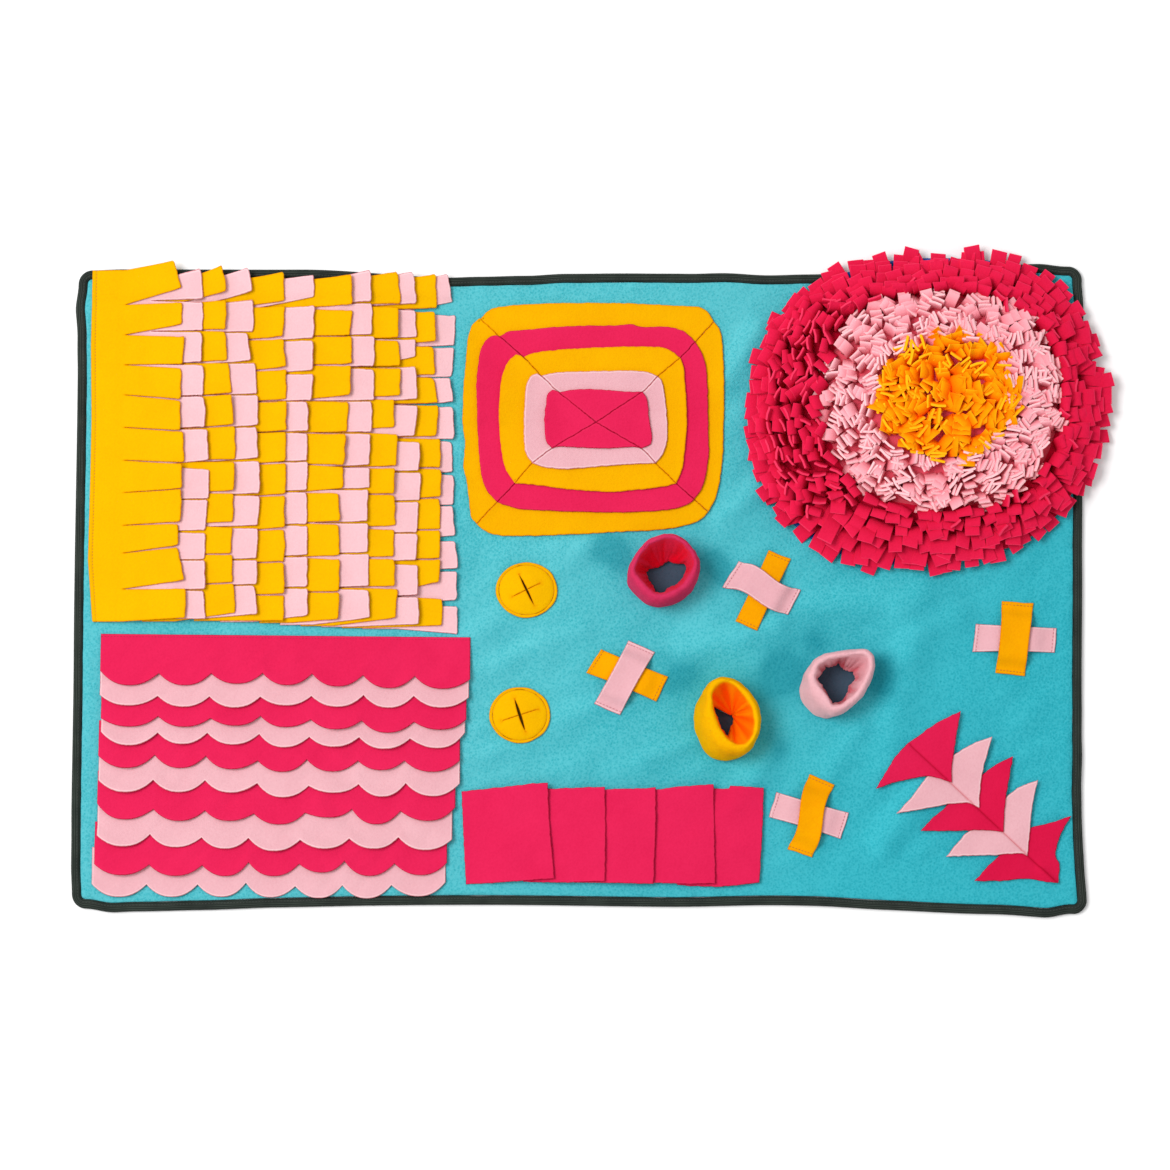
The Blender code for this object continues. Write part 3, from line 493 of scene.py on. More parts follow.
def buildNapGroup():
    # brushed fleece: soft patches where the nap lies another way and small tufts, a painted rim along the cut
    # edge (a pale highlight on most cloths, an orange shade on the yellows), and painted shade where two
    # edges meet, in folds and in recesses
    tree = bpy.data.node_groups.new("fleeceNap", "ShaderNodeTree")
    addInputs(tree, (
        ("Position", "Vector", None), ("Colour", "Color", (0.5, 0.5, 0.5, 1.0)),
        ("Deep Colour", "Color", (0.3, 0.3, 0.3, 1.0)), ("Rim Colour", "Color", (0.8, 0.8, 0.8, 1.0)),
        ("Cut Colour", "Color", (0.1, 0.1, 0.1, 1.0)), ("Edge", "Float", 0.0), ("Crease", "Float", 0.0),
        ("Rim Amount", "Float", 0.5), ("Cut Amount", "Float", 0.8), ("Patch Size", "Float", 18.0),
        ("Patches", "Float", 0.3), ("Tuft Size", "Float", 420.0), ("Tufts", "Float", 0.3)))
    for label, kind in (("Colour", "Color"), ("Height", "Float"), ("Roughness", "Float")):
        tree.interface.new_socket(label, in_out="OUTPUT", socket_type="NodeSocket" + kind)
    given = tree.nodes.new("NodeGroupInput").outputs

    def noiseFac(scale, detail, roughness=0.5, distortion=0.0):
        return addNode(tree, "ShaderNodeTexNoise", {
            "Vector": given["Position"], "Scale": scale, "Detail": detail, "Roughness": roughness,
            "Distortion": distortion}).outputs["Fac"]

    def spread(value, low, high, toLow, toHigh):
        return addNode(tree, "ShaderNodeMapRange", {
            "Value": value, "From Min": low, "From Max": high, "To Min": toLow,
            "To Max": toHigh}).outputs["Result"]

    def maths(operation, first, second, clamped=False):
        node = addNode(tree, "ShaderNodeMath", {0: first, 1: second}, operation=operation, use_clamp=clamped)
        return node.outputs[0]

    def blend(amount, first, second):
        # the mix node's colours are its sixth and seventh sockets
        return addNode(tree, "ShaderNodeMix", {"Factor": amount, 6: first, 7: second},
                       data_type="RGBA").outputs[2]

    pebbles = addNode(tree, "ShaderNodeTexVoronoi", {
        "Vector": given["Position"], "Scale": given["Tuft Size"], "Randomness": 1.0}, feature="F1")
    pebble = spread(pebbles.outputs["Distance"], 0.05, 0.75, 0.72, 0.28)
    tuftNoise = maths("MULTIPLY", noiseFac(given["Tuft Size"], 2.0, 0.65), 0.45)
    tufts = maths("ADD", tuftNoise, maths("MULTIPLY", pebble, 0.55))
    fibres = noiseFac(2300.0, 2.0)
    patches = spread(noiseFac(given["Patch Size"], 3.0, 0.55, 0.6), 0.34, 0.68, -0.5, 0.5)
    patchPart = maths("MULTIPLY", patches, given["Patches"])
    tuftPart = maths("MULTIPLY", spread(tufts, 0.33, 0.67, -0.5, 0.5), given["Tufts"])
    fibrePart = maths("MULTIPLY", spread(fibres, 0.3, 0.7, -0.18, 0.18), given["Tufts"])
    shade = maths("ADD", maths("ADD", patchPart, tuftPart), fibrePart)
    cloth = blend(maths("ADD", shade, 0.35, clamped=True), given["Colour"], given["Deep Colour"])
    # painted rim: a band just inside the cut edge takes the rim colour, a highlight on most cloths and an
    # orange shade on the yellows
    rising, falling = spread(given["Edge"], 0.22, 0.48, 0.0, 1.0), spread(given["Edge"], 0.64, 0.8, 1.0, 0.0)
    paintedRimMask = maths("MULTIPLY", maths("MULTIPLY", rising, falling), given["Rim Amount"], clamped=True)
    paintedRim = blend(paintedRimMask, cloth, given["Rim Colour"])
    # painted shade: the outermost edge, broken up by the tufts, and the marked folds and recesses take the
    # shade colour
    ragged = maths("MULTIPLY", spread(given["Edge"], 0.62, 0.88, 0.0, 1.0),
                   spread(tufts, 0.35, 0.6, 0.25, 1.0))
    paintedShadeMask = maths("MULTIPLY", maths("MAXIMUM", ragged, given["Crease"]), given["Cut Amount"], clamped=True)
    setInputs(tree, tree.nodes.new("NodeGroupOutput"), {
        "Colour": blend(paintedShadeMask, paintedRim, given["Cut Colour"]),
        "Height": maths("ADD", maths("MULTIPLY", tufts, 1.1), maths("MULTIPLY", fibres, 0.5)),
        "Roughness": spread(tufts, 0.3, 0.7, 0.98, 0.84)})
    return tree


napGroup = buildNapGroup()


def newMaterial(name):
    material = bpy.data.materials.new(name)
    material.use_nodes = True
    return material, material.node_tree, material.node_tree.nodes["Principled BSDF"]


def fleece(name, colour, deep, rim, cut, paintedRimAmount=0.5, paintedShadeAmount=0.8, patches=0.4, patchSize=18.0,
           tufts=0.4, tuftSize=420.0, relief=0.45, sheen=0.0):
    material, tree, shader = newMaterial(name)
    nap = addNode(tree, "ShaderNodeGroup", {
        "Position": objectPlace(tree), "Edge": stored(tree, "edge"), "Crease": stored(tree, "crease"),
        "Colour": fullColour(colour), "Deep Colour": fullColour(deep), "Rim Colour": fullColour(rim),
        "Cut Colour": fullColour(cut), "Rim Amount": paintedRimAmount, "Cut Amount": paintedShadeAmount, "Patches": patches,
        "Patch Size": patchSize, "Tufts": tufts, "Tuft Size": tuftSize}, node_tree=napGroup).outputs
    bumps = addNode(tree, "ShaderNodeBump", {"Strength": relief, "Distance": 0.001, "Height": nap["Height"]})
    setInputs(tree, shader, {
        "Base Color": nap["Colour"], "Roughness": nap["Roughness"], "Normal": bumps.outputs["Normal"],
        "Specular IOR Level": 0.03, "Sheen Weight": sheen, "Sheen Roughness": 0.4,
        "Sheen Tint": fullColour(rim)})
    return material


def tintWhere(material, tint, amount):
    # the cloth takes the tint where amount, the output of a node, is 1
    tree = material.node_tree
    colour = tree.nodes["Principled BSDF"].inputs["Base Color"]
    tinted = addNode(tree, "ShaderNodeMix", {
        "Factor": amount, 6: colour.links[0].from_socket, 7: fullColour(tint)},
        data_type="RGBA", blend_type="MULTIPLY")
    tree.links.new(tinted.outputs[2], colour)


def paintShadeAcross(material, tint, direction, near, far):
    # painted shade: the cloth is tinted darker towards one corner, where less of the lamp's light falls
    tree = material.node_tree
    along = addNode(tree, "ShaderNodeVectorMath", {0: objectPlace(tree), 1: direction},
                    operation="DOT_PRODUCT")
    amount = addNode(tree, "ShaderNodeMapRange", {
        "Value": along.outputs["Value"], "From Min": near, "From Max": far})
    tintWhere(material, tint, amount.outputs["Result"])


tealFleece = fleece("tealFleece", (0.122, 0.555, 0.615), (0.027, 0.398, 0.46), (0.14, 0.6, 0.665),
                    (0.01, 0.12, 0.16), paintedShadeAmount=0.3, patches=0.25, patchSize=6.0, tufts=1.0, tuftSize=430.0,
                    relief=0.9)
# painted shade: the teal darkens and loses red towards the lower right
paintShadeAcross(tealFleece, (0.44, 0.89, 0.94), (0.85, -0.5, 0.0), -0.02, 0.36)
# painted shade on the pile, stored in the lean attribute: darker on slopes turned away from the lamp and
# beside the cups, lighter on crests
tintWhere(tealFleece, (0.35, 0.62, 0.66), stored(tealFleece.node_tree, "lean"))
# shade colours painted at cut edges and in folds, grooves and recesses
yellowPaintedShade, pinkPaintedShade, darkPaintedShade = (0.6, 0.105, 0.0), (0.52, 0.075, 0.088), (0.36, 0.0, 0.015)
yellowFleece = fleece("yellowFleece", (0.795, 0.425, 0.0002), (0.75, 0.356, 0.0002), (0.795, 0.33, 0.0),
                      yellowPaintedShade, paintedRimAmount=0.4, patches=0.35)
ringYellow = fleece("ringYellow", (0.795, 0.392, 0.0003), (0.75, 0.32, 0.0002), (0.77, 0.285, 0.0),
                    yellowPaintedShade, paintedRimAmount=0.4)
crossYellow = fleece("crossYellow", (0.832, 0.35, 0.0003), (0.774, 0.27, 0.0003), (0.819, 0.26, 0.0),
                     yellowPaintedShade, paintedRimAmount=0.4)
heartYellow = fleece("heartYellow", (1.0, 0.37, 0.002), (1.0, 0.25, 0.001), (1.0, 0.5, 0.01),
                     (1.0, 0.105, 0.0), paintedRimAmount=0.85, paintedShadeAmount=0.95, patches=0.3, tufts=0.3)
palePink = fleece("palePink", (0.78, 0.47, 0.503), (0.715, 0.396, 0.43), (0.86, 0.63, 0.65), pinkPaintedShade)
lightPinkFleece = fleece("lightPinkFleece", (0.73, 0.4, 0.44), (0.665, 0.33, 0.372), (0.85, 0.64, 0.65),
                         pinkPaintedShade, tufts=0.45)
petalPink = fleece("petalPink", (0.94, 0.44, 0.49), (0.88, 0.36, 0.415), (0.96, 0.59, 0.615),
                   (0.7, 0.055, 0.1), paintedRimAmount=0.8, paintedShadeAmount=0.92, patches=0.3)
darkPinkFleece = fleece("darkPinkFleece", (0.7, 0.017, 0.086), (0.61, 0.0098, 0.064), (0.79, 0.056, 0.14),
                        darkPaintedShade, paintedRimAmount=0.12)
# painted shade: the dark pink is darker towards the lower right corner
paintShadeAcross(darkPinkFleece, (0.9, 0.5, 0.66), (0.85, -0.5, 0.0), 0.28, 0.45)
deepPinkFleece = fleece("deepPinkFleece", (0.762, 0.0145, 0.069), (0.642, 0.0065, 0.046), (0.85, 0.05, 0.127),
                        (0.54, 0.0035, 0.026), paintedRimAmount=0.7)
pocketLining = fleece("pocketLining", (0.134, 0.071, 0.0053), (0.08, 0.04, 0.0036), (0.178, 0.089, 0.0089),
                      (0.03, 0.015, 0.002))
blueFleece = fleece("blueFleece", (0.012, 0.071, 0.316), (0.008, 0.045, 0.231), (0.045, 0.142, 0.445),
                    (0.004, 0.02, 0.1), paintedRimAmount=0.4, patches=0.3, tufts=0.3)
slateFelt = fleece("slateFelt", (0.058, 0.104, 0.15), (0.042, 0.076, 0.112), (0.073, 0.115, 0.16),
                   (0.01, 0.015, 0.02), paintedRimAmount=0.3, tufts=0.5)
# the cups' shade colours paint the shade inside them, deepest by the hole
cupCloths = {
    "cupDarkPink": fleece("darkCupFleece", (0.605, 0.031, 0.106), (0.525, 0.019, 0.078), (0.685, 0.09, 0.18),
                          (0.78, 0.0008, 0.014), paintedShadeAmount=0.92, patches=0.6, tufts=0.7, relief=0.8,
                          sheen=0.5),
    "cupYellow": fleece("yellowCupFleece", (0.854, 0.43, 0.0004), (0.828, 0.355, 0.0003),
                        (0.89, 0.534, 0.0089), (1.0, 0.085, 0.0), paintedShadeAmount=0.95, patches=0.5, tufts=0.6,
                        relief=0.7, sheen=0.2),
    "cupLightPink": fleece("pinkCupFleece", (0.79, 0.44, 0.478), (0.715, 0.358, 0.396), (0.89, 0.667, 0.676),
                           (0.64, 0.082, 0.12), paintedShadeAmount=0.92, patches=0.5, tufts=0.6, relief=0.8,
                           sheen=0.3),
}


def buildBindingMaterial():
    # woven tape: ribs along it painted lighter as a highlight, a fine cross weave and a little shine on the
    # ribs
    material, tree, shader = newMaterial("bindingTape")
    tape = addNode(tree, "ShaderNodeUVMap", uv_map="tape").outputs["UV"]

    def threadsAcross(direction, scale, distortion):
        return addNode(tree, "ShaderNodeTexWave", {
            "Vector": tape, "Scale": scale, "Distortion": distortion, "Detail": 1.0},
            bands_direction=direction, wave_profile="SIN").outputs["Fac"]

    def maths(operation, first, second):
        return addNode(tree, "ShaderNodeMath", {0: first, 1: second}, operation=operation).outputs[0]

    ribs, weave = threadsAcross("Y", 3.4, 0.4), threadsAcross("X", 190.0, 0.6)
    wear = addNode(tree, "ShaderNodeTexNoise", {"Vector": objectPlace(tree), "Scale": 60.0, "Detail": 4.0})
    wear = wear.outputs["Fac"]
    # painted highlight: the ribs are lighter in colour, varied by the wear noise
    colour = addNode(tree, "ShaderNodeValToRGB", {"Fac": maths("MULTIPLY", ribs, wear)})
    for stop, position, shade in zip(colour.color_ramp.elements, (0.05, 0.6),
                                     ((0.008, 0.012, 0.01), (0.042, 0.054, 0.044))):
        stop.position, stop.color = position, fullColour(shade)
    heights = maths("ADD", ribs, maths("MULTIPLY", weave, 0.35))
    relief = addNode(tree, "ShaderNodeBump", {"Strength": 0.45, "Distance": 0.0005, "Height": heights})
    rough = addNode(tree, "ShaderNodeMapRange", {"Value": wear, "To Min": 0.55, "To Max": 0.85})
    setInputs(tree, shader, {
        "Base Color": colour.outputs["Color"], "Roughness": rough.outputs["Result"],
        "Normal": relief.outputs["Normal"], "Specular IOR Level": 0.12})
    return material


def thread(name, colour):
    # twisted sewing thread, darker in small random patches
    material, tree, shader = newMaterial(name)
    twist = addNode(tree, "ShaderNodeTexNoise", {"Vector": objectPlace(tree), "Scale": 1800.0, "Detail": 1.0})
    dark = [0.6 * part for part in colour]
    tone = addNode(tree, "ShaderNodeMix", {
        "Factor": twist.outputs["Fac"], 6: fullColour(colour), 7: fullColour(dark)}, data_type="RGBA")
    setInputs(tree, shader, {"Base Color": tone.outputs[2], "Roughness": 0.6})
    return material


bindingTape = buildBindingMaterial()
threads = {
    "yellow": thread("yellowThread", (0.66, 0.235, 0.001)),
    "light": thread("pinkThread", (0.66, 0.26, 0.29)),
    "dark": thread("crimsonThread", (0.36, 0.004, 0.022)),
    "charcoal": thread("charcoalThread", (0.03, 0.036, 0.032)),
}
print("cloths ready")


# ---- the mat: backing, teal fleece and binding

outline = {
    "corners": pairs(-0.501, 0.3195, 0.5, 0.3235, 0.4985, -0.321, -0.501, -0.3155),
    "cornerRadius": 0.014,
    # how far each side bows in: share of the side from its first corner, depth
    "bows": (
        pairs(0.22, 0.001, 0.38, 0.01, 0.52, 0.0105, 0.72, 0.014),
        pairs(0.3, 0.0035, 0.46, 0.005, 0.67, 0.007, 0.83, 0.004),
        pairs(0.1, 0.0035, 0.3, 0.008, 0.41, 0.005, 0.57, 0.006),
        ((0.17, -0.0015), (0.48, -0.002), (0.8, -0.001)),
    ),
    # slack in each side: x or y along it, and how far the edge lies further out
    "slack": (
        pairs(-0.495, 0.001, -0.14, 0.001, -0.1, 0.002, -0.055, 0.003, -0.015, 0.005, 0.065, 0.0055,
            0.105, 0.006, 0.145, 0.0075, 0.185, 0.006, 0.225, 0.007, 0.36, 0.007, 0.43, 0.004, 0.49, 0.003),
        pairs(-0.3, -0.001, -0.2, -0.0005, -0.155, 0.002, -0.115, 0.0035, 0.045, 0.003, 0.3, 0.002),
        pairs(-0.49, 0.005, -0.435, 0.0028, -0.375, 0.002, -0.3, 0.0005, -0.2, 0.0, 0.0, 0.0, 0.1, 0.0,
            0.225, 0.001, 0.3, 0.0025, 0.41, 0.004, 0.465, 0.005, 0.49, 0.003),
        pairs(-0.3, 0.001, -0.23, 0.0, -0.075, -0.001, 0.21, -0.001, 0.25, 0.0, 0.29, 0.003),
    ),
    "slackFade": 0.03,
    "sideSteps": 240,  # for each metre
    "cornerSteps": 10,
}


def matOutline(inset):
    # clockwise from the top left corner, in metres
    corners = [Vector(point) for point in outline["corners"]]
    radius = max(outline["cornerRadius"] - inset, 0.002)
    points = []
    for side in range(4):
        start, end = corners[side], corners[(side + 1) % 4]
        along = (end - start).normalized()
        inward = Vector((along.y, -along.x))
        length = (end - start).length
        edge = inset + radius
        steps = round(outline["sideSteps"] * length)
        for j in range(steps + 1):
            distance = lerp(edge, length - edge, j / steps)
            place = start + along * distance
            slack = stepped(outline["slack"][side], place.y if side % 2 else place.x)
            slack *= smoothstep((min(distance, length - distance) - edge) / outline["slackFade"])
            bow = stepped(((0.0, 0.0), *outline["bows"][side], (1.0, 0.0)), distance / length)
            points.append(place + inward * (inset + bow - slack))
        centre = end - along * edge + inward * edge
        for j in range(1, outline["cornerSteps"]):
            turn = math.pi / 2 * j / outline["cornerSteps"]
            points.append(centre + along * radius * math.sin(turn) - inward * radius * math.cos(turn))
    return points


def inMillimetres(points):
    return [(point[0] / mm, point[1] / mm) for point in points]


binding = {
    "width": 0.009,
    "height": 0.0066,
    "wander": 0.0004,
    "puff": 0.05,  # share of the height by which the upper half swells and shrinks
    # across the band from its outer foot, over the rounded back, to the inner foot and back underneath
    "profile": pairs(1.0, 0.04, 1.0, 0.3, 0.985, 0.55, 0.93, 0.76, 0.84, 0.9, 0.72, 0.975, 0.6, 1.0,
        0.48, 0.985, 0.38, 0.955, 0.3, 0.965, 0.2, 0.94, 0.1, 0.86, 0.03, 0.72, 0.0, 0.55, 0.0, 0.3,
        0.02, 0.06, 0.1, 0.0, 0.5, 0.0, 0.9, 0.0),
}


def makeBinding():
    outer, inner, profile = matOutline(0.0), matOutline(binding["width"]), binding["profile"]
    points, texture, walk = [], [], 0.0
    for j, (far, near) in enumerate(zip(outer, inner)):
        walk += (far - outer[j - 1]).length if j else 0.0
        puff = 1.0 + binding["puff"] * wobble(far.x, far.y, 0.05, 3.0)
        wander = binding["wander"] * wobble(far.x, far.y, 0.022, 5.0)
        for k, (across, up) in enumerate(profile):
            side, slack = lerp(near, far, across), wander * (1.0 - across)
            points.append((side.x + slack, side.y + slack,
                           binding["height"] * up * (puff if up > 0.5 else 1.0)))
            texture.append((walk, k / len(profile)))
    obj = linkPiece("bindingBand", points, tubeFaces(len(outer), len(profile), closed=True), bindingTape)
    layer = obj.data.uv_layers.new(name="tape")
    for loop in obj.data.loops:
        layer.data[loop.index].uv = texture[loop.vertex_index]
    faceUp(obj)
    finishPiece((obj, None), "binding_tape", ["edge_binding"], (0.015, 3.29))


cups = {
    "cupDarkPink": dict(
        node="cup_dark_pink", slot="dark_pink_fleece", height=0.042,
        paintedShadeRows=(1.0, 1.0, 0.96, 0.92, 0.88, 0.84, 0.78),
        rim=pairs(47.3, 19.4, 55.3, 35.3, 67.6, 47.7, 81.6, 52.4, 94, 52.1, 104.5, 45.9, 113.3, 35.3,
            117.8, 24.7, 116.7, 12.4, 111.4, -1.7, 102.6, -10.5, 90.3, -16.7, 76.3, -19, 64, -15.8,
            53.5, -5.3, 45.6, 3.6),
        opening=pairs(52.9, 17.4, 57.9, 29.7, 68.4, 41.2, 81.6, 47.4, 92.1, 47, 101.8, 41.2, 109.6, 31.5,
            111.7, 21.8, 107.8, 12.1, 100.8, 2.4, 90.3, -4.6, 80.6, -8.2, 72.7, -7.3, 66.6, -2, 59.6, 5.9,
            54.3, 12.1),
        hole=pairs(64.5, 16.9, 67.1, 20.4, 76.9, 22.2, 85.7, 27.9, 92.8, 25.7, 100.8, 26.1, 105.2, 22.2,
            104.3, 15.1, 96.3, 4.4, 87.5, 0.9, 82.1, -4.5, 73.3, -4.5, 71.5, 2.6, 66.2, 9.7)),
    "cupYellow": dict(
        node="cup_yellow", slot="yellow_fleece", height=0.044, paintedShadeRows=(1.0, 0.98, 0.94, 0.9, 0.86, 0.8, 0.7),
        rim=pairs(111.1, -128.3, 112.9, -116, 119.9, -103.7, 127, -93.2, 137.5, -88.8, 149.8, -89.7,
            158.5, -95, 167.2, -103.7, 174.2, -114.3, 177.3, -130, 175.8, -144, 168.8, -158.1, 158.3, -166.8,
            142.5, -171.2, 130.3, -168.6, 121.5, -161.6, 116.3, -149.3, 112, -138.8),
        opening=pairs(128.2, -105.7, 133.9, -96, 142.6, -93.9, 151.4, -98.6, 161.8, -109.2, 168.8, -121.4,
            170.8, -133.7, 168.7, -145.9, 161.7, -155.6, 151.2, -156.4, 142.5, -149.4, 134.6, -137.2,
            129.4, -121.4),
        hole=pairs(131, -115.2, 136.6, -121.3, 143.7, -124.9, 151.6, -127.5, 150.7, -133.7, 145.4, -139,
            146.3, -147.8, 138.3, -139, 133.1, -126.6)),
    "cupLightPink": dict(
        node="cup_light_pink", slot="light_pink_fleece", height=0.038,
        paintedShadeRows=(1.0, 1.0, 0.88, 0.46, 0.34, 0.28, 0.2),
        rim=pairs(216.3, -98.5, 219.9, -86.2, 228.7, -72.1, 239.3, -66, 256.8, -62.5, 281.4, -60.7,
            288.3, -66.9, 290, -79.2, 286.4, -91.4, 279.3, -105.5, 268.8, -116, 256.5, -124.8, 242.4, -129.2,
            230.2, -125.6, 219.7, -114.3, 216.3, -105.5),
        opening=pairs(229.9, -88.1, 232.9, -77.6, 244.3, -71.1, 261.8, -68.8, 277.6, -66.2, 283.7, -70.6,
            282.8, -81.1, 277.5, -93.4, 268.6, -107.4, 256.3, -116.2, 246.7, -118.3, 242.7, -109.2,
            235.4, -99.5, 230.5, -92.5),
        hole=pairs(233, -89.5, 238.3, -83.3, 242.7, -77.1, 251.6, -76.3, 255.1, -72.7, 260.4, -79.8,
            269.2, -82.4, 271.8, -89.5, 265.6, -96.6, 263.8, -103.7, 258.4, -111.6, 247.8, -114.3,
            244.4, -105.4, 237.3, -94.8)),
}


def growLoop(loop, by):
    centre = np.mean(loop, axis=0)
    return [tuple(centre + (np.array(point) - centre) * (1 + by / math.dist(point, centre)))
            for point in loop]


def makeBacking():
    made = clothFromOutlines("backingCloth", [[inMillimetres(matOutline(mat["underBinding"]))]],
                             lambda x, y, distance, number: mat["cloth"] / 2, slateFelt,
                             spacing=14.0, edgeSpacing=6.0, waver=0.0)
    finishPiece(made, "slate_backing", ["backing"], mat["flat"])


topFleece = {
    "holeSlack": 1.5,        # each hole in the fleece is this much larger than the cup's own
    "pucker": 0.0011,        # the fleece puckers beside the binding and the cups
    "puckerReach": 0.01,
    "puckerSize": 0.015,
    "tuck": 0.001,
    "tuckReach": 0.002,
    "deepest": -0.0002,
}


def makeTopFleece():
    outlines = [inMillimetres(matOutline(mat["underBinding"]))]
    outlines += [growLoop(cup["hole"], topFleece["holeSlack"]) for cup in cups.values()]

    def shape(x, y, distance, number):
        pucker = topFleece["pucker"] * bump(distance, topFleece["puckerReach"])
        pucker *= 0.8 + wobble(x, y, topFleece["puckerSize"], 2.0)
        tuck = topFleece["tuck"] * bump(distance, topFleece["tuckReach"])
        return mat["topBase"] + mat["cloth"] / 2 + max(swell(x, y), topFleece["deepest"]) + pucker - tuck

    obj, area = clothFromOutlines("tealTop", [outlines], shape, tealFleece, spacing=5.0, edgeSpacing=3.0,
                                  waver=0.0)
    shiftX, shiftY = mat["shift"]
    # painted shade of the pile, kept on the upper face for the material
    store(obj.data, "lean", [
        paintedShadeOfPile(vertex.co.x - shiftX, vertex.co.y - shiftY) if vertex.normal.z > 0 else 0.0
        for vertex in obj.data.vertices])
    finishPiece((obj, area), "teal_fleece", ["top_fleece"], mat["flat"])


makeBacking()
makeTopFleece()
makeBinding()
print("mat ready")


# ---- shingled panels

seams = {"yellow": [], "light": [], "dark": [], "charcoal": []}
slots = {
    "yellow": ("yellow_fleece", yellowFleece),
    "light": ("light_pink_fleece", lightPinkFleece),
    "dark": ("dark_pink_fleece", darkPinkFleece),
}

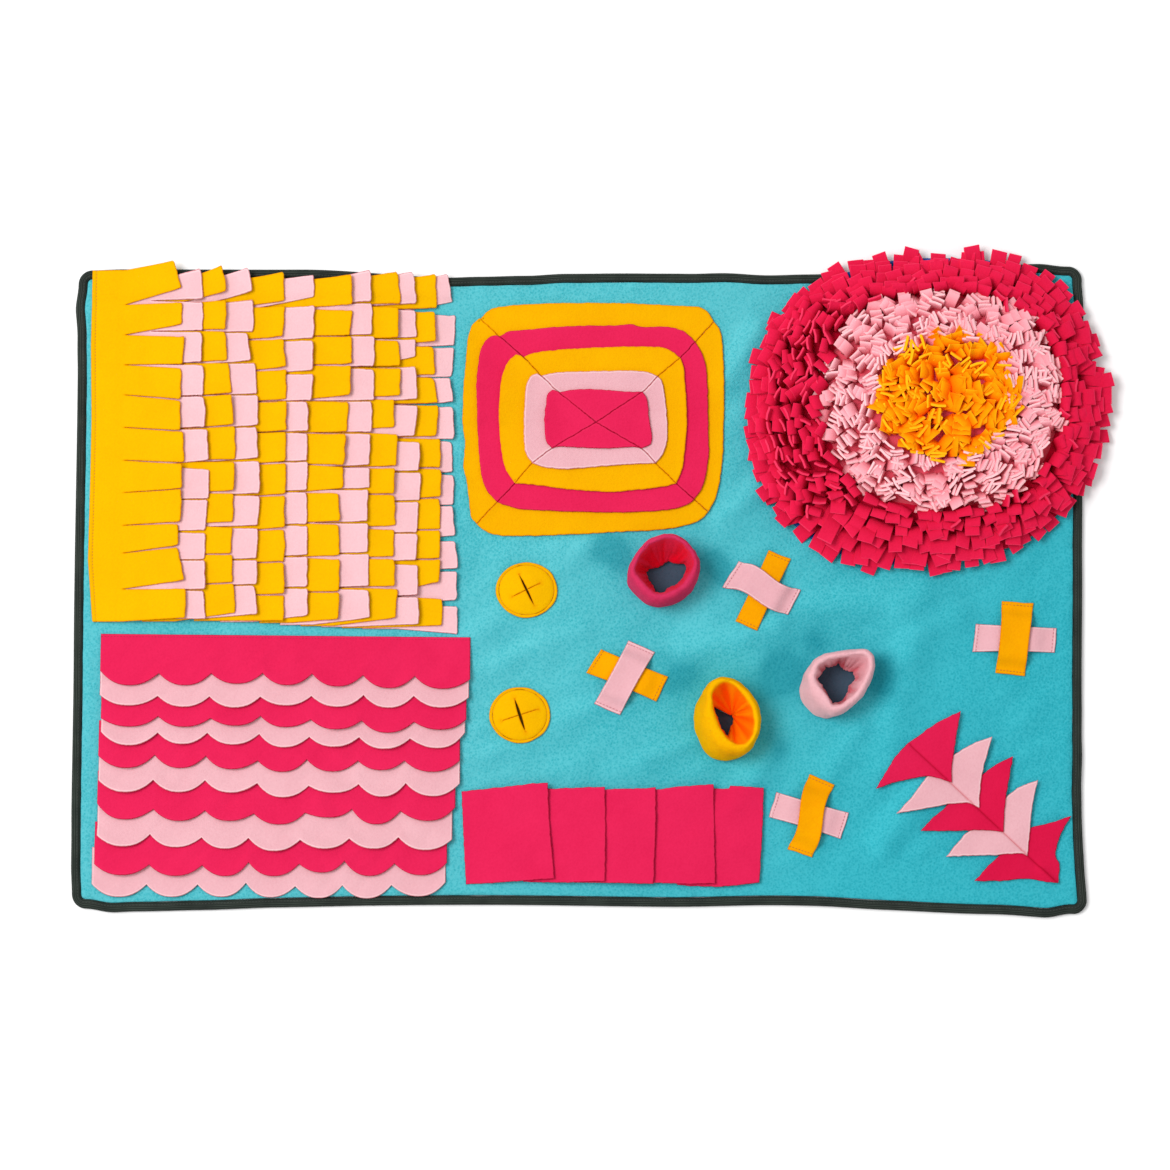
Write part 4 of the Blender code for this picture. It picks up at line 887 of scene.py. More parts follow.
fringe = {
    "starts": [-0.486 + 0.0258 * i for i in range(6)] + [-0.318 + 0.0204 * i for i in range(6)],
    "root": 0.033,         # uncut width along the sewn edge
    "heads": (0.3185, 0.307),  # top of the first strip and of the others
    "slit": 0.00008,       # half of a cut
    "ripple": 0.00035,
    "lift": (0.0008, 0.0038),  # how far the end of a tab rises
    "liftReach": 0.02,
    "corner": 0.0014,
    "tuck": 6.0,           # the root of the lowest tab hides this far up under the strip above
    # the left edge of the first strip, as heights and places across, from the bottom
    "hem": pairs(-32.6, -482.9, -30.8, -483.7, 28.8, -488.4, 118.6, -486.9, 168.6, -486.3, 244.9, -487.8,
        313.3, -486.5),
    # rows of points from the sewn edge to the root of the tabs, for the first strip and for the others
    "header": ((0.0, 0.0004, 0.0011, 0.0024, 0.0035, 0.0044, 0.0053, 0.0064, 0.0085,
                0.012, 0.0165, 0.021, 0.0255, 0.03), (0.0, 0.0004, 0.0011, 0.008, 0.016, 0.025, 0.031)),
    "seam": 0.0044,
    # for each strip: right ends of the tabs as x and y of the upper and lower corner, cuts, foot
    "strips": (
        (fours(-404.4, 327.2, -396.6, 299.4, -395.8, 285.5, -396.9, 263.1, -393.6, 251, -395.2, 223.5,
            -396.5, 219.6, -396.8, 188.5, -397.1, 187.1, -397, 157.1, -393.8, 155.8, -393.1, 125,
            -395, 123.6, -394.8, 99.1, -394.8, 98.6, -395.7, 66.2, -398, 64.3, -398.1, 42.7,
            -398.7, 40.8, -391.5, 7.9, -390.1, -0.4, -389.9, -29.4),
         (284, 253.6, 223.5, 193.4, 160.9, 127.9, 95.7, 63.1, 35.5, -0.3), -32.7),
        (fours(-377.6, 319.5, -375.1, 288.7, -375.6, 285.7, -375.3, 257.3, -376.5, 255.6, -376.3, 225.5,
            -374.6, 222.5, -374.3, 192.2, -373.4, 190.9, -372, 160.5, -370.1, 157.8, -368.5, 127.1,
            -367.8, 118, -368.2, 89, -369.5, 87.7, -371.1, 57.8, -371.1, 54.8, -372.1, 28.7,
            -371.5, 27.5, -370.6, -1, -372.5, -2.3, -370.4, -30.7),
         (288, 257.2, 224.7, 192.2, 159.8, 122.7, 88.9, 56.8, 28.6, -1.2), -34.9),
        (fours(-356.1, 322.1, -352.1, 295.8, -352.1, 287.9, -352.5, 258.6, -353.1, 256.6, -351, 227.4,
            -349.7, 224.8, -346.3, 194.7, -345.7, 192.8, -344.1, 162.9, -342.8, 161.5, -342, 128.6,
            -342.6, 125.6, -343.6, 96.7, -343.6, 94.1, -344.1, 66.2, -344.7, 60.4, -345.8, 34.5,
            -345, 33.2, -343.7, 6, -342.9, 4.7, -340.9, -24.3),
         (285.1, 258.3, 225.3, 191.1, 159.1, 127.6, 95.9, 63.8, 34.3, 3.4), -38.4),
        (fours(-330.7, 320.1, -326.2, 295.9, -325.5, 288.3, -325.2, 256.3, -331, 255, -327.6, 226.8,
            -323.1, 224.9, -321, 193.6, -320.3, 192.3, -320.1, 162.3, -321.4, 160.6, -319.3, 129.8,
            -318, 126.7, -317.7, 94.2, -317.7, 91.8, -319.4, 62.4, -318.8, 59.3, -320.5, 29.5,
            -319.8, 27.6, -319.7, 4.3, -322.2, 2.9, -318.8, -25.5),
         (284, 256.2, 224, 193.5, 159.8, 125.8, 93.4, 61.3, 28.9, 2.4), -35.9),
        (fours(-295.3, 315.7, -294.3, 286.9, -293.7, 281.8, -296, 251.1, -295, 248.4, -292.6, 220.4,
            -292.2, 217.8, -292.1, 188.5, -292, 185.9, -291.9, 156.6, -292.1, 155.3, -292.4, 126.2,
            -292, 124.2, -291.8, 94.1, -292.8, 92.1, -292.6, 60.2, -292.9, 58.2, -292.7, 26.9,
            -292.7, 25.6, -292.8, -5.7, -293.2, -7.1, -293, -32.3),
         (280.6, 248, 216.3, 185.8, 155.5, 123.1, 90.8, 57.5, 25.3, -6), -37.8),
        (fours(-265, 312.3, -264.8, 290.7, -264.5, 281.7, -265.2, 249.7, -265.6, 247.1, -265.9, 217.1,
            -265.4, 213.2, -266.7, 187.1, -270.6, 185.8, -269.7, 156.5, -271, 154.5, -270.7, 126.7,
            -270.1, 125.4, -271.2, 97.4, -271.2, 95.4, -270.6, 64.1, -270.3, 62.1, -270.4, 32.8,
            -270.1, 30.8, -270, 1.6, -269.9, -0.5, -269.4, -27),
         (280.2, 246.8, 214.6, 187.1, 156.1, 126.7, 97, 63.6, 32.3, 1), -38.9),
        (fours(-227, 312.5, -226.6, 282.6, -226.8, 276.8, -229.2, 251.8, -227.7, 250.6, -227, 223.2,
            -227.5, 221.2, -228.7, 191.9, -229.8, 185.5, -231.6, 155.5, -232.3, 153, -234.1, 122.5,
            -234.8, 120.5, -235.3, 99.2, -239.3, 94.5, -237.7, 66.5, -239.1, 63.2, -238.3, 32.6,
            -238.2, 28.6, -238.8, -3.2, -238.1, -4.6, -238.8, -30.5),
         (280, 252.3, 223.2, 187.7, 155.2, 124.4, 95.6, 65.6, 31.3, -3.3), -39.9),
        (fours(-209, 317.1, -207.4, 285.9, -207.3, 284.5, -207.2, 252.7, -204.9, 250.8, -204.6, 221.3,
            -205.4, 218.1, -204.6, 186.9, -207.2, 185.6, -206.8, 155.6, -208, 153.3, -209.7, 122,
            -208.7, 119.3, -209.1, 99.3, -210.8, 97.3, -210.7, 66, -210, 64, -210.6, 35.3,
            -209.8, 33.4, -209.1, 2.1, -208.6, -1.9, -208.3, -29.7),
         (283.8, 252.7, 220.6, 187.1, 155.3, 121.4, 99, 65.6, 34.9, 0.6), -41.9),
        (fours(-182.2, 316, -178.5, 284.4, -181.1, 280.6, -181, 249.8, -181, 247.2, -179, 221.7,
            -178.3, 219.2, -179.4, 191.6, -184.8, 187.8, -184.7, 160.4, -181.9, 153.1, -182.5, 121.6,
            -183.6, 118.9, -184.4, 94.2, -183.7, 92.9, -183.4, 62.2, -184.3, 58.2, -184.8, 31.6,
            -184.1, 28.9, -183.3, 2.3, -180.8, -0.4, -182.6, -29.5),
         (283.1, 249.1, 221, 190.2, 157.3, 120.7, 93.9, 60.6, 30.6, 1.3), -42.9),
        (fours(-166.7, 316.2, -162.8, 284.8, -164.7, 277.7, -162.7, 250.8, -164.6, 248.3, -164.5, 231,
            -163.9, 220.8, -161.8, 188.8, -161.7, 181.8, -164.2, 152.4, -159.1, 145.4, -160, 117.2,
            -158.7, 115.2, -159.2, 87.8, -160.6, 85.8, -161.8, 55.8, -161.8, 54.5, -162.4, 28.4,
            -161.1, 23.2, -161, -6.7, -160.3, -8.8, -159.5, -35.3),
         (281.5, 249.8, 220.3, 185.5, 149.1, 116.3, 86.9, 55.3, 25.9, -7.6), -43.9),
        (fours(-144.6, 314, -142.6, 280.7, -145.1, 276.2, -143.7, 246.7, -146.9, 241.6, -144.3, 214,
            -146.1, 210.9, -141.6, 185.3, -141, 182.8, -143.4, 152.1, -139.7, 149.5, -138.2, 121.5,
            -138.2, 119.5, -138.8, 91.4, -139.5, 90, -138.7, 59.4, -139.4, 58, -139.3, 30.1,
            -139.3, 28.7, -139.8, 6.7, -136.5, -9.9, -137.1, -36.5),
         (278.3, 244, 212.3, 183.9, 150.7, 120.3, 88.3, 58.6, 29.3, -6.6), -44.8),
        (fours(-132.6, 314.4, -127.4, 286.8, -124.8, 273.3, -125.6, 243.2, -126, 240.7, -128.4, 211.9,
            -129.7, 210.6, -126.5, 186.3, -127.1, 181.2, -125.2, 149.8, -128.2, 147.3, -127, 116.4,
            -125.7, 113.7, -126.3, 83.7, -126.9, 82.3, -124.2, 52.9, -123.8, 46.9, -121.4, 20.2,
            -122.1, 17, -122.6, -11, -122, -17.6, -121.3, -44.9),
         (276.2, 241.4, 210.7, 183.3, 148.2, 114.7, 82.6, 49.6, 18.3, -14.6), -45.7),
    ),
}


def hemX(y):
    return stepped(fringe["hem"], y / mm, clamp) * mm


def makeFringe():
    rng = random.Random(4)
    starts, seam = fringe["starts"], fringe["seam"]
    for index, (ends, cuts, foot) in enumerate(fringe["strips"]):
        start = starts[index]
        rootX = start + fringe["root"]
        levels = [fringe["heads"][min(index, 1)], *(cut * mm for cut in cuts),
                  (foot + (fringe["tuck"] if index else 0.0)) * mm]

        def height(x, y):
            ripple = fringe["ripple"] * wobble(x, y, 0.028, 7.0)
            return sewn(x, y) + climb(0.0, y) + shingle(x, starts, index) + ripple

        grids, headRows = [], []
        for upper, lower, end in zip(levels, levels[1:], ends):
            topX, topY, bottomX, bottomY = (value * mm for value in end)
            length, width = (topX + bottomX) / 2 - rootX, upper - lower
            lift = rng.uniform(*fringe["lift"]) * rng.choice((0.4, 1.0, 1.0))
            twist, curl = rng.uniform(-0.001, 0.001), rng.uniform(-0.0009, 0.0009)
            grid = []
            for along in spaced(length, 0.0042):
                u = along / length
                gap = fringe["slit"] * smoothstep(along / 0.004)
                top, bottom = lerp(upper, topY, u) - gap, lerp(lower, bottomY, u) + gap
                rise = smoothstep((along - length) / fringe["liftReach"] + 1.0)
                row = []
                for across in spaced(width, 0.0038):
                    v = across / width
                    side = min(across, width - across)
                    x, y = lerp(rootX, lerp(topX, bottomX, v), u), lerp(top, bottom, v)
                    pulled = fringe["corner"] * max(0.0, 1.0 - side / 0.003) ** 2
                    pulled *= smoothstep((along - length + 0.006) / 0.006)
                    waver = 0.0007 * wobble(x, y, 0.009, 9.0 + index) * rise
                    z = height(x, y) + rise * (lift + twist * (2 * v - 1) + curl * ((2 * v - 1) ** 2 - 0.4))
                    row.append((x - pulled + waver, y + waver, z, min(side, length - along)))
                grid.append(row)
            headRows += [point[1] for point in grid[0][1 if grids else 0:]]
            grids.append(grid)
        header = []
        for y in headRows:
            near = start if index else hemX(y)
            row = []
            for offset in (*fringe["header"][min(index, 1)], None):
                x = rootX if offset is None else near + offset * (rootX - near) / fringe["root"]
                side = max(min(x - near, headRows[0] - y, y - headRows[-1]), 0.0)
                z = height(x, y)
                if index == 0:
                    z -= 0.0008 * bump(x - near - seam, 0.0012) - 0.0004 * bump(x - near - seam / 2, 0.0015)
                row.append((x, y, z, min([side] + [math.hypot(x - rootX, y - cut) for cut in levels[1:-1]])))
            header.append(row[::-1])
        if index == 0:
            seams["yellow"].append([(hemX(y) + seam, y, height(start + seam, y) + 0.0002)
                                    for y in headRows[2:-2]])
        slot, cloth = (("yellow_fleece", yellowFleece), ("light_pink_fleece", palePink))[index % 2]
        made = clothFromGrids(f"fringeStrip{index + 1:02d}", [*grids, header], cloth)
        finishPiece(made, slot, [f"fringe_strip_{index + 1:02d}"], (0.094, 0.372))


scallops = {
    "starts": [0.049 + 0.0203 * i for i in range(5)] + [0.13 + 0.025 * i for i in range(1, 6)],
    "tops": pairs(-0.0445, -0.048, -0.0693, -0.075, -0.0896, -0.095, -0.1099, -0.114),
    "roundness": 2.3,
    "lift": (0.0012, 0.0036),
    "liftReach": 0.013,
    # for each row: left end, the points between scallops, right end; lowest y of each scallop
    "rows": (
        (pairs(-474.7, -81, -416.5, -84.1, -364.9, -84.1, -313.9, -83.9, -265.2, -84.4, -214.9, -85.9,
            -163.9, -86.9, -109.1, -90),
         (-95.9, -95.9, -94.3, -95.9, -97.1, -98.7, -99.4)),
        (pairs(-474.7, -105.3, -417.5, -106.6, -366.5, -107.1, -316.1, -107.4, -265.8, -106.8, -214.3, -105.8,
            -164.6, -106.6, -110.3, -107.9),
         (-116, -117.3, -118.1, -116, -117.3, -118.3, -118.1)),
        (pairs(-473.4, -128.3, -416.8, -126.5, -365.1, -128.5, -315.9, -126.2, -266.2, -129.8, -216, -130.8,
            -164.5, -132.1, -112.8, -129.6),
         (-136.7, -137, -135.9, -137.2, -139.5, -142.8, -139.8)),
        (pairs(-473.3, -141.5, -417.2, -142.8, -368.3, -143.1, -317.1, -144.1, -267.6, -147.1, -218.5, -147.4,
            -168.3, -148.7, -114, -142.3),
         (-155.3, -154, -154.5, -157.3, -156.8, -158.9, -158.1)),
        (pairs(-475.6, -165.2, -420, -164.7, -369.6, -165.7, -318.4, -170.3, -270, -169.1, -219.6, -170.3,
            -173.8, -170.3, -119.1, -170.3),
         (-177.5, -177.5, -178.7, -181.3, -181, -179.7, -181.3)),
        (pairs(-475.3, -189.4, -421.3, -189.4, -370.2, -189.7, -318.8, -192.7, -267.9, -195.3, -218.7, -193.7,
            -172.4, -192.7, -119, -192.5),
         (-201.4, -201.4, -201.9, -206.5, -202.1, -205.9, -205.4)),
        (pairs(-476.3, -212.3, -420.8, -218.1, -369.9, -219.4, -321.9, -222.5, -271.5, -221.7, -225.2, -218.1,
            -177.4, -219.9, -123.5, -216.1),
         (-228.1, -229.6, -229.6, -233.1, -226.3, -232.9, -229.6)),
        (pairs(-476, -244, -423.9, -242.8, -373, -246.1, -326.8, -246.6, -275.9, -248.4, -227.6, -247.1,
            -179.3, -245.8, -126.5, -247.9),
         (-254.7, -255.5, -257, -259.3, -257, -257, -258.3)),
        (pairs(-478.5, -271.9, -424.6, -272.7, -372.5, -273.2, -326.8, -270.1, -277, -271.9, -232.5, -268.9,
            -183.2, -271.4, -131.6, -270.6),
         (-282.8, -283.6, -283.8, -283.8, -280.3, -283.6, -282.8)),
        (pairs(-481.2, -291.4, -427.3, -292.1, -376.9, -292.1, -329.4, -290.4, -280.8, -293.9, -234.5, -292.9,
            -186.2, -292.7, -132.9, -289.6),
         (-304.1, -304.1, -304.1, -304.6, -305.3, -305.6, -303.6)),
    ),
}


def makeScallops():
    rng = random.Random(8)
    for index, (cusps, lows) in enumerate(scallops["rows"]):
        start = scallops["starts"][index]
        tops = scallops["tops"][index] if index < len(scallops["tops"]) else (-start, -start)
        left, right = cusps[0][0] * mm, cusps[-1][0] * mm
        columns = []
        for number, (near, far, low) in enumerate(zip(cusps, cusps[1:], lows)):
            lift, tilt = rng.uniform(*scallops["lift"]), rng.uniform(-0.5, 0.5)
            shares = [j / 16 for j in range(16)]
            if number == 0:
                shares[1:1] = [0.0004 / 0.052, 0.0011 / 0.052, 0.0022 / 0.052]
            if number == len(lows) - 1:
                shares += [1 - 0.0022 / 0.05, 1 - 0.0011 / 0.05, 1 - 0.0004 / 0.05, 1.0]
            for share in shares:
                level = lerp(near[1], far[1], share)
                bottom = level + (low - level) * (1.0 - abs(2 * share - 1) ** scallops["roundness"])
                raised = lift * (1.0 + tilt * (2 * share - 1)) * (0.35 + 0.65 * math.sin(math.pi * share))
                columns.append((lerp(near[0], far[0], share) * mm, bottom * mm, raised))
        grid = []
        for x, bottom, lift in columns:
            top = lerp(*tops, (x - left) / (right - left))
            column = []
            for across in spaced(top - bottom, (top - bottom - 0.0044) / 11):
                y = top - across
                rise = smoothstep(1.0 - (y - bottom) / scallops["liftReach"]) * lift
                ripple = 0.0004 * wobble(x, y, 0.03, 12.0)
                ripple += 0.0006 * wobble(0.5 * (x + y), 2.2 * (y - x), 0.024, 13.0 + index)
                # the lower rows pucker at one place
                ripple += (0.0007 * bump(x + 0.236, 0.022) * math.sin((x * 0.8 + y) / 0.0058)
                           * smoothstep((-0.13 - y) / 0.03))
                z = sewn(x, y) + shingle(-y, scallops["starts"], index) + rise + ripple
                column.append((x, y, z, max(min(across, y - bottom, x - left, right - x), 0.0)))
            grid.append(column)
        if index == 0:
            line = [column[3] for column in grid[2:-2]]
            seams["dark"].append([(x, y - 0.0004, z + mat["cloth"] / 2 - 0.0002) for x, y, z, _ in line])
        slot, cloth = slots[("dark", "light")[index % 2]]
        made = clothFromGrids(f"scallopStrip{index + 1:02d}", [grid], cloth)
        finishPiece(made, slot, [f"scallop_strip_{index + 1:02d}"], (0.37, 0.054))


makeFringe()
makeScallops()
print("fringe and scallops ready")


# ---- ringed panel

rings = {
    "centre": (15.3, 165.2),
    "cutWidth": 0.1,
    "curl": 0.0009,       # how far the cut edges and the outer edge rise
    # the four flaps of each layer, clockwise round the panel, from the largest layer
    "layers": (
        dict(
            top=pairs(-100.3, 270, -91.4, 279.1, -79, 282.7, -54.1, 284.9, -18.5, 286.1, 17.1, 286.3,
                43.8, 286, 70.5, 284.9, 106.1, 283.1, 120.3, 281.3, 127.8, 275.9, 132.8, 267.3),
            right=pairs(132.8, 267.3, 138.4, 260.1, 141.2, 247.5, 142.4, 222.4, 142.8, 186.6, 142.2, 165.1,
                141.3, 132.9, 137.6, 104.4, 133.1, 88.3, 126.9, 76.8),
            bottom=pairs(126.9, 76.8, 119.8, 69.6, 105.6, 63.4, 79, 58.9, 34.8, 56.6, -0.7, 54.5, -53.8, 52.7,
                -83.9, 53.6, -96.3, 58.4, -103.4, 64.6),
            left=pairs(-103.4, 64.6, -108.7, 72.3, -111.4, 91.9, -113.2, 106.2, -116.5, 122.2, -115.1, 145.4,
                -117.5, 165.1, -117, 195.5, -114.4, 227.8, -112.4, 251.1, -107.4, 264.6, -100.3, 270.9),
        ),
        dict(
            top=pairs(-81, 252.2, -71.8, 257, -54, 258.8, -25.6, 261.5, -0.7, 263, 34.9, 263.3, 50, 264.6,
                59.8, 261.9, 84.7, 261.9, 97.1, 259.7, 107.8, 253.4, 114, 246.8),
            right=pairs(114, 246.8, 120.2, 236.4, 124.6, 222.1, 126.3, 200.6, 126.7, 168.4, 127, 132.7,
                124.3, 113, 119.8, 98.8, 112.7, 89),
            bottom=pairs(112.7, 89, 105.6, 83.6, 93.2, 79.5, 70.2, 77, 34.8, 76, -0.7, 76.5, -36.1, 77.9,
                -59.1, 79.2, -73.3, 82.7, -83, 86.3),
            left=pairs(-83, 86.3, -92.8, 97, -98.1, 111.2, -100.8, 132.7, -102.7, 168.4, -103.7, 204.2,
                -101.9, 225.6, -98.4, 241.8, -91.3, 250.7, -84.2, 253.3, -79.8, 251.1),
        ),
        dict(
            top=pairs(-56.6, 231, -50.4, 234.3, -32.6, 237.5, -0.7, 240, 34.8, 241.4, 70.4, 241.8, 84.6, 240,
                93.4, 235.2, 99.1, 230.3),
            right=pairs(99.1, 230.3, 102.3, 221.7, 104, 203.8, 105.7, 168.1, 103.9, 141.3, 101.2, 119.9,
                95, 104.7),
            bottom=pairs(95, 104.7, 84.3, 101.7, 52.5, 97.6, 31.2, 96.2, 10, 96.7, -18.4, 99.4, -44.9, 103,
                -65.3, 104.7),
            left=pairs(-65.3, 104.7, -74.2, 118.1, -78.6, 135.9, -81.3, 168.1, -80.5, 194.9, -77.9, 212.8,
                -71.7, 227.1, -64.2, 233.7, -57.8, 231.4),
        ),
        dict(
            top=pairs(-39, 212.1, -25.5, 215.1, -0.7, 216.4, 25.9, 216.9, 52.6, 216.9, 66.7, 215.7,
                76.5, 211.5),
            right=pairs(76.5, 211.5, 80.9, 207.1, 84.4, 185.6, 86.2, 164.2, 86.1, 149.9, 82.6, 135.6,
                74.6, 124.6),
            bottom=pairs(74.6, 124.6, 43.6, 123.2, 17, 121, -14.8, 118.7, -36.1, 120.5, -48.1, 124.6),
            left=pairs(-48.1, 124.6, -54.7, 135.6, -56.5, 158.8, -55.6, 185.6, -53.9, 203.5, -49.4, 211.5,
                -43.2, 214.2, -39.3, 212.1),
        ),
        dict(
            top=pairs(-21.9, 195.1, -11.3, 197.3, 6.4, 198.2, 25.9, 197.4, 43.6, 196, 61.4, 195.8),
            right=pairs(61.4, 195.8, 65.8, 188.9, 68.4, 167.4, 71, 149.6, 69.8, 143.4, 60.4, 138.9),
            bottom=pairs(60.4, 138.9, 52.4, 140.3, 25.9, 138.9, -0.7, 139.8, -21.9, 140.7, -28.6, 139.1),
            left=pairs(-28.6, 139.1, -34.3, 146, -36.1, 167.4, -34.3, 185.3, -32.2, 194.2, -27.6, 197.8,
                -22.3, 195.5),
        ),
    ),
    # the cut to the top left, from the middle outwards, one point at the edge of each layer
    "topLeftCut": pairs(-22, 195.3, -39.2, 212.1, -57.2, 231.2, -80.4, 251.7),
    "cloths": ("yellow", "dark", "yellow", "light", "dark"),
    "flat": pairs(0.262, 0.236, 0.233, 0.19, 0.19, 0.147, 0.144, 0.1, 0.11, 0.061),
}


def makeRings():
    around = (("top", "topLeft", "topRight"), ("right", "topRight", "bottomRight"),
              ("bottom", "bottomRight", "bottomLeft"), ("left", "bottomLeft", "topLeft"))
    cuts = {first: [layer[side][0] for layer in rings["layers"][:0:-1]] for side, first, _ in around}
    cuts["topLeft"] = rings["topLeftCut"]
    for index, layer in enumerate(rings["layers"]):
        sheets = []
        for side, first, last in around:
            first, last = cuts[first][:4 - index], cuts[last][:4 - index]
            loop = [*layer[side], *reversed(last), rings["centre"], *first]
            loop = [point for point, following in zip(loop, loop[1:] + loop[:1])
                    if math.dist(point, following) > 0.9]
            if signedArea(loop) < 0:
                loop.reverse()
            sheets.append([insetLoop(loop, rings["cutWidth"])])

        def shape(x, y, distance, number):
            curl = rings["curl"] * bump(distance, 0.004) * (0.55 + 0.6 * wobble(x, y, 0.02, 22.0 + number))
            if number == 3 and y > 0.165:
                # the corner of the left flap is lifted
                outside = math.hypot(x - 0.015, y - 0.165)
                curl += 0.0012 * bump(distance, 0.012) * smoothstep((outside - 0.03) / 0.02)
            return sewn(x, y) + mat["step"] * index + 0.0005 * wobble(x, y, 0.05, 21.0) + max(curl, -0.0002)

        slot, cloth = slots[rings["cloths"][index]]
        made = clothFromOutlines(f"ringLayer{index + 1}", sheets, shape,
                                 ringYellow if slot == "yellow_fleece" else cloth)
        finishPiece(made, slot, [f"ring_layer_{index + 1}"], rings["flat"][index])


makeRings()


# ---- pockets

pockets = {
    "places": {
        "pocketUpper": dict(node="pocket_upper", centre=(-53.5, -1.0), half=(30.5, 27.5), turn=-64, open=0.9,
                            wings=(14.0, 15.0)),
        "pocketLower": dict(node="pocket_lower", centre=(-60.0, -125.0), half=(30.0, 27.8), turn=-72,
                            open=1.3, wings=(18.0, 18.0)),
    },
    "dome": 0.0032,
    "groove": 3.0,    # the sewn line, from the edge
    "cut": 16.5,      # half length of the longer cut
    # half of that cut's open lip: shares of its length and of its opening
    "lip": pairs(1.0, 0.0, 0.8, 0.36, 0.5, 0.8, 0.2, 1.0),
    "lining": (18.5, 18.5),
}


def superOval(centre, half, count, power=2.0, waver=0.0, seed=0.0):
    points = []
    for j in range(count):
        turn = 2 * math.pi * j / count
        c, s = math.cos(turn), math.sin(turn)
        radius = (abs(c / half[0]) ** power + abs(s / half[1]) ** power) ** (-1 / power)
        radius *= 1.0 + waver * wobble(c * 1.3, s * 1.3, 0.5, seed)
        points.append((centre[0] + radius * c, centre[1] + radius * s))
    return points


def makePockets():
    for name, given in pockets["places"].items():
        middle, turn, mouth = Vector(given["centre"]), math.radians(given["turn"]), given["open"]
        along = Vector((math.cos(turn), math.sin(turn)))
        across = Vector((-along.y, along.x))
        lip = [(pockets["cut"] * out, mouth * up) for out, up in pockets["lip"]]
        cut = []
        for sign, wing in zip((1, -1), given["wings"]):
            half = [*lip, (0.12, mouth), (0.05, 0.6 * wing), (0.0, wing), (-0.05, 0.6 * wing), (-0.12, mouth)]
            half += [(-out, up) for out, up in reversed(lip[1:])]
            cut += [tuple(middle + (along * out + across * up) * sign) for out, up in half]
        oval = superOval(given["centre"], given["half"], 60, waver=0.012, seed=given["turn"])

        def inward(x, y):
            # 0 on the edge of the pocket, 1 in the middle
            halfX, halfY = given["half"]
            return 1.0 - math.hypot((x / mm - middle.x) / halfX, (y / mm - middle.y) / halfY)

        def grooveAt(x, y, width):
            return bump(inward(x, y) * 29.0 - pockets["groove"], width)

        def shape(x, y, distance, number):
            rise = pockets["dome"] * smoothstep(0.15 + inward(x, y))
            return sewn(x, y) + rise - 0.001 * grooveAt(x, y, 1.0) + 0.0003 * wobble(x, y, 0.015, 31.0)

        # painted shade along the sewn groove
        made = clothFromOutlines(name, [[oval, cut]], shape, yellowFleece, spacing=2.6, edgeSpacing=1.6,
                                 waver=0.0, crease=lambda x, y: 0.45 * grooveAt(x, y, 0.8),
                                 seamRows=(2.4, 3.0, 3.6, 4.4))
        finishPiece(made, "yellow_fleece", [given["node"]], (0.061, 0.056))

        half = [side - pockets["groove"] for side in given["half"]]
        ring = superOval(given["centre"], half, 73, waver=0.012, seed=given["turn"])
        seams["yellow"].append([(x * mm, y * mm, shape(x * mm, y * mm, 0.003, 0) + mat["cloth"] / 2 - 0.0001)
                                for x, y in (*ring, ring[0])])
        # a lining under the cut, coloured dark brown as painted shade for the inside of the pocket
        made = clothFromOutlines(name + "Lining", [[superOval(given["centre"], pockets["lining"], 30)]],
                                 lambda x, y, distance, number: mat["sewnBase"] + 0.0005 + swell(x, y),
                                 pocketLining, edgeSpacing=3.0, thickness=0.0009)
        finishPiece(made, "yellow_fleece", [], (0.037, 0.037))


makePockets()
print("rings and pockets ready")


# ---- crosses, pleats and arrows

crosses = {
    # two corners at each sewn end, and how far the middle sways
    "strips": {
        "crossAUnder": dict(cloth="yellow", corners=pairs(186.4, 38.7, 208.4, 29.7, 153.2, -31.9,
            174.5, -41.8), sway=0.0),
        "crossAOver": dict(cloth="light", corners=pairs(140.0, 1.9, 156.9, 27.8, 205.2, -25.9, 218.2, -1.1),
                           sway=0.0028),
        "crossBUnder": dict(cloth="yellow", corners=pairs(5.3, -83.1, 19.8, -59.6, 74.4, -111.5, 86.3, -87.0),
                            sway=0.0),
        "crossBOver": dict(cloth="light", corners=pairs(47.3, -51.2, 73.5, -62.6, 13.2, -114.1, 38.9, -125.0),
                           sway=0.0),
        "crossCUnder": dict(cloth="light", corners=pairs(387.6, -62.4, 391.2, -34.6, 468.8, -63.1,
            471.3, -38.8), sway=0.0),
        "crossCOver": dict(cloth="yellow", corners=pairs(417.1, -12.0, 448.5, -14.3, 410.0, -83.2,
            439.2, -86.4), sway=0.0),
        "crossDUnder": dict(cloth="light", corners=pairs(185.6, -225.6, 193.1, -201.0, 256.4, -247.2,
            264.5, -221.5), sway=0.0),
        "crossDOver": dict(cloth="yellow", corners=pairs(225.8, -183.2, 250.3, -193.9, 203.8, -257.1,
            227.8, -265.4), sway=-0.0024),
    },
    "lifts": {"Under": 0.0035, "Over": 0.0063},
    "seam": 0.0032,
    "flatEnd": 0.006,
    "crest": 0.0175,  # half length of the level middle
}


